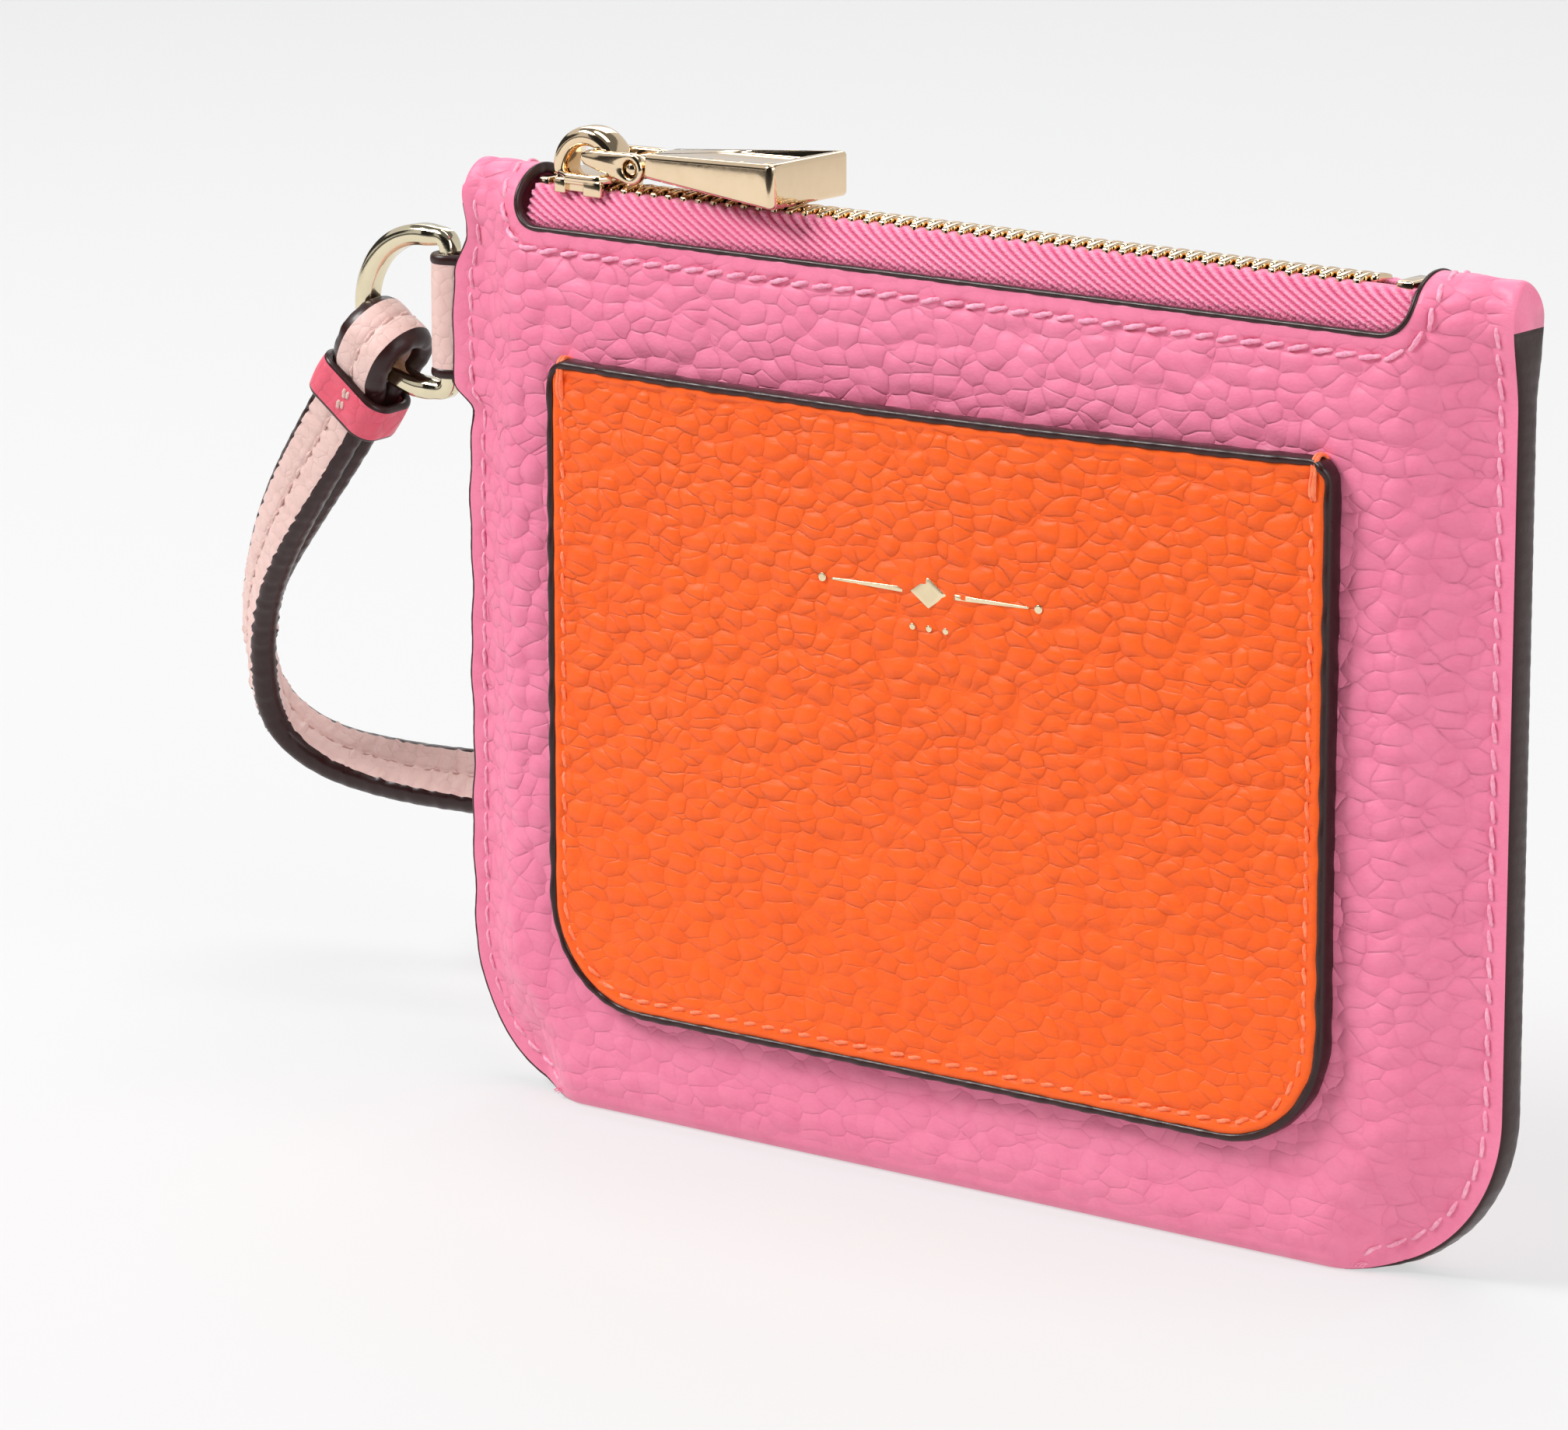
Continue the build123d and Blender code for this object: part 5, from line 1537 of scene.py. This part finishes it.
for i in range(len(SP)):
    s = S_len[i]
    ht = thick_[i]
    k0 = 2.75 + 0.55 * free[i]           # where the painted edge begins
    wf = wf0 * k0
    crown = 0.20 * np.abs(np.sin(math.pi * wf / 3.5)) ** 0.7 * np.sign(1)
    cr1 = free[i] * (0.13 * math.sin(2.7 * s + 1.2 * math.sin(0.4 * s)) + 0.08 * math.sin(4.9 * s + 0.7))
    wr = cr1 * np.cos(0.35 * wf + 0.3 * s)
    fold_ = s + 0.55 * np.sin(0.5 * wf + 0.21 * s) + 0.5 * math.sin(0.37 * s)
    wr = wr - free[i] * (0.22 + 0.10 * math.sin(1.3 * s)) * np.exp(-((np.sin(math.pi * fold_ / 2.7) / 0.30) ** 2))
    groove = -0.16 * np.exp(-((wf / 0.35) ** 2))
    fr_n = ht - 0.08 + crown * 0.75 + groove + wr
    bk_n = -(ht - 0.08 + crown * 0.75 + groove - wr)
    ew = 1 + 0.035 * math.sin(1.9 * s) + 0.03 * math.sin(3.3 * s + 1)
    e_w = k0 + 0.06 + (4.36 - k0) * ew * np.cos(ta)
    e_n = (ht - 0.10) * np.sin(ta)
    sec = np.vstack([np.stack([wf, fr_n], 1), np.stack([e_w, e_n], 1), np.stack([wf[::-1], bk_n[::-1]], 1),
                     np.stack([-e_w, -e_n], 1)])[::-1]
    rings.append(SP[i] + sec[:, :1] * SW[i] + sec[:, 1:] * SN[i])
nsec = len(rings[0])
v, f = loft(rings)
lab = []
nf, ne = len(wf0), len(ta)
cls = np.array([0] * nf + [1] * ne + [0] * nf + [1] * ne)[::-1]
cls_next = np.roll(cls, -1)
ring_mat = [1 if (cls[k] or cls_next[k]) else 0 for k in range(nsec)]
lab = ring_mat * (len(rings) - 1) + [1, 1]
ob = add_mesh("wrist_strap_band", v, f, [PALE, EDGE], lab)
place(ob, "strap", "strap_leather", "wrist_strap")

ss = Parts()
lo = int(np.searchsorted(S_len, 9.0))
tk = thick_[:, None]
stitches(ss, SP[lo:-16] + SN[lo:-16] * (tk[lo:-16] - 0.12), SN[lo:-16], 3.1, 2.3, 0.20, 0.10, lift=0.02, dip=0.3)
stitches(ss, SP[lo + 42:-16] - SN[lo + 42:-16] * (tk[lo + 42:-16] - 0.12), -SN[lo + 42:-16], 3.1, 2.3, 0.20, 0.10, lift=0.02, dip=0.3)
ob = ss.build("wrist_strap_stitches", T_PALE)
place(ob, "strap", "strap_thread", "strap_thread")

# keeper: a leather band round both legs
W0 = turned(unit(np.array([0.69, 0.0, -0.724])), TURN)
N0 = turned(unit(np.array([0.724, 0.0, 0.69])), TURN)
KH, KB, KT = 5.4, 4.0, 1.1
kc = WIRE - N0 * (KB + KH / 2) + np.array([0.25, 0.0, -0.15])
kd = 2 * (1.5 + 1.2) + 0.3
kw = STRAP_W + 1.1
o = rounded_poly([(-kw / 2 - KT / 2, -kd / 2 - KT / 2), (kw / 2 + KT / 2, -kd / 2 - KT / 2), (kw / 2 + KT / 2, kd / 2 + KT / 2),
                  (-kw / 2 - KT / 2, kd / 2 + KT / 2)], [2.1] * 4, 10)
o = resample(o, 0.30, True)
P = kc + o[:, :1] * W0 + o[:, 1:] * np.array([0.0, 1.0, 0.0])
T = tangents(P, True)
up = np.tile(N0, (len(P), 1))
out = unit(np.cross(T, up))
if np.sum(out * (P - kc)) < 0:
    out = -out
sarc = np.arange(len(P)) * 0.30
hf = np.linspace(-KH / 2 + 0.5, KH / 2 - 0.5, 15)
te = np.linspace(math.pi / 2, -math.pi / 2, 8)[1:-1]
rings = []
for i in range(len(P)):
    wv = 0.10 * math.sin(0.9 * sarc[i]) + 0.06 * math.sin(2.1 * sarc[i] + 1)
    tilt = 0.14 * math.sin(0.35 * sarc[i] + 0.5)
    o1 = np.stack([KT / 2 + 0.10 * np.cos(hf / KH * math.pi) + wv * np.cos(hf * 0.8), hf + tilt], 1)
    e1 = np.stack([KT / 2 * 1.02 * np.sin(te), KH / 2 - 0.42 + 0.5 * np.cos(te) + tilt], 1)
    o2 = np.stack([-KT / 2 + 0 * hf, hf[::-1] + tilt], 1)
    e2 = np.stack([-KT / 2 * np.sin(te), -(KH / 2 - 0.42 + 0.5 * np.cos(te)) + tilt], 1)
    sec = np.vstack([o1, e1, o2, e2])
    rings.append(P[i] + sec[:, :1] * out[i] + sec[:, 1:] * up[i])
v, f = loft(rings, True, False, True)
ns_ = len(rings[0])
cl = np.array([0] * len(hf) + [1] * len(te) + [0] * len(hf) + [2] * len(te))
ring_mat = []
for k in range(ns_):
    a, b = cl[k], cl[(k + 1) % ns_]
    ring_mat.append(1 if (a or b) else 0)
ob = add_mesh("strap_keeper_band", v, f, [CORAL, EDGE], ring_mat * len(rings))
place(ob, "strap", "keeper_leather", "strap_keeper")
ks = Parts()
fy = -(kd / 2 + KT + 0.02)
c0 = kc + np.array([0.0, fy, 0.0]) + W0 * 0.4
line = np.array([c0 + N0 * t for t in np.linspace(-1.5, 2.2, 12)])
stitches(ks, line, np.tile([0.0, -1.0, 0.0], (len(line), 1)), 1.75, 1.55, 0.24, 0.35, lift=0.12)
line = np.array([c0 + W0 * 0.55 + N0 * t for t in np.linspace(-1.2, 2.0, 12)])
stitches(ks, line, np.tile([0.0, -1.0, 0.0], (len(line), 1)), 1.6, 1.3, 0.20, 0.30, lift=0.10)
ob = ks.build("keeper_stitches", T_PALE)
place(ob, "strap", "strap_thread", "keeper_thread")

# ------------------------------------------------------------------ hidden inner parts keep their CAD shape with their own finish
for names, mat in ((("stiffener_front", "stiffener_back"), BOARD), (("lining_front", "lining_back", "card_slots"), LINING)):
    for n in names:
        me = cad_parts[n].data
        if not me.materials:
            me.materials.append(mat)
        for k in range(len(me.materials)):
            me.materials[k] = mat
        for sl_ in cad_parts[n].material_slots:
            sl_.material = mat

# ------------------------------------------------------------------ floor, backdrop, light, camera
def stage_mat(name, col, emit):
    m = bpy.data.materials.new(name)
    m.use_nodes = True
    b = m.node_tree.nodes["Principled BSDF"]
    b.inputs["Base Color"].default_value = col
    b.inputs["Roughness"].default_value = 0.8
    b.inputs["Specular IOR Level"].default_value = 0.1
    b.inputs["Emission Color"].default_value = (1, 1, 1, 1)
    b.inputs["Emission Strength"].default_value = emit
    return m


def quad(name, pts, mat):
    me = bpy.data.meshes.new(name)
    me.from_pydata([tuple(p) for p in pts], [], [(0, 1, 2, 3)])
    me.materials.append(mat)
    ob_ = bpy.data.objects.new(name, me)
    scene.collection.objects.link(ob_)
    return ob_


FLOOR = stage_mat("floor_white", (0.25, 0.25, 0.252, 1), 0.57)
R = 3.0
quad("floor", [(-R, -R, 0), (R, -R, 0), (R, R, 0), (-R, R, 0)], FLOOR)
# curved backdrop all round
seg = 48
prof = [(3.0, 0.0), (3.3, 0.06), (3.55, 0.25), (3.7, 0.6), (3.75, 1.2), (3.75, 3.2)]
bv, bf = [], []
for r_, z_ in prof:
    for k in range(seg):
        a = 2 * math.pi * k / seg
        bv.append((r_ * math.cos(a), r_ * math.sin(a), z_ - 0.002))
for i in range(len(prof) - 1):
    for k in range(seg):
        bf.append((i * seg + k, i * seg + (k + 1) % seg, (i + 1) * seg + (k + 1) % seg, (i + 1) * seg + k))
me = bpy.data.meshes.new("backdrop")
me.from_pydata(bv, [], bf)
me.materials.append(FLOOR)
me.polygons.foreach_set("use_smooth", [True] * len(me.polygons))
bd = bpy.data.objects.new("backdrop", me)
scene.collection.objects.link(bd)

world = bpy.data.worlds.new("studio")
scene.world = world
world.use_nodes = True
bg = world.node_tree.nodes["Background"]
bg.inputs[0].default_value = (1.0, 1.0, 1.0, 1)
bg.inputs[1].default_value = 0.18


def area(name, loc, target, size, power, col=(1, 1, 1)):
    ld = bpy.data.lights.new(name, "AREA")
    ld.shape = "RECTANGLE"
    ld.size, ld.size_y = size
    ld.energy = power
    ld.color = col
    ob_ = bpy.data.objects.new(name, ld)
    scene.collection.objects.link(ob_)
    ob_.location = loc
    ob_.rotation_euler = (Vector(target) - Vector(loc)).to_track_quat("-Z", "Y").to_euler()
    return ob_


area("key", (-0.85, -0.75, 1.15), (0, 0, 0.05), (0.7, 0.5), 22.5)
area("fill", (1.3, -0.5, 0.7), (0, 0, 0.06), (0.9, 0.9), 8.0)
area("top", (0.0, 0.15, 1.5), (0, 0, 0.05), (1.0, 0.7), 8.5)
area("back", (-0.7, 0.9, 0.9), (-0.1, 0.03, 0.03), (0.8, 0.6), 3.2)
low = area("low", (0.22, -0.62, 0.05), (0.0, 0.0, 0.0), (0.7, 0.08), 0.42)
low.visible_camera = False
low.visible_glossy = False
DARK = stage_mat("flag_cloth", (0.03, 0.03, 0.03, 1), 0.0)
# black flags, as in a studio: they take bounced light off the front and are not seen themselves
flags = [
    quad("flag_floor", [(-1.6, -2.2, 0.004), (2.4, -2.2, 0.004), (2.4, -0.62, 0.004), (-1.6, -0.62, 0.004)], DARK),
    quad("flag_front", [(-1.6, -2.2, 0.0), (2.4, -2.2, 0.0), (2.4, -2.2, 2.2), (-1.6, -2.2, 2.2)], DARK),
    quad("flag_left", [(-1.2, -1.2, 0.10), (-1.2, 0.7, 0.10), (-1.2, 0.7, 0.50), (-1.2, -1.2, 0.50)], DARK),
]
for fl in flags:
    fl.visible_camera = False
    fl.visible_shadow = False

AZ, EL, DIST = math.radians(37.653), math.radians(13.0), 0.879684
target = Vector((-0.027388, 0.0, 0.052449))
b_ = Vector((math.sin(AZ) * math.cos(EL), -math.cos(AZ) * math.cos(EL), math.sin(EL)))
cam = bpy.data.cameras.new("camera")
cam.sensor_fit = "HORIZONTAL"
cam.sensor_width = 36.0
cam.lens = 9402.722 / 2016 * 36.0
cam.clip_start, cam.clip_end = 0.01, 20.0
co_ = bpy.data.objects.new("camera", cam)
scene.collection.objects.link(co_)
co_.location = target + b_ * DIST
co_.rotation_euler = (-b_).to_track_quat("-Z", "Y").to_euler()
scene.camera = co_

bpy.context.view_layer.update()
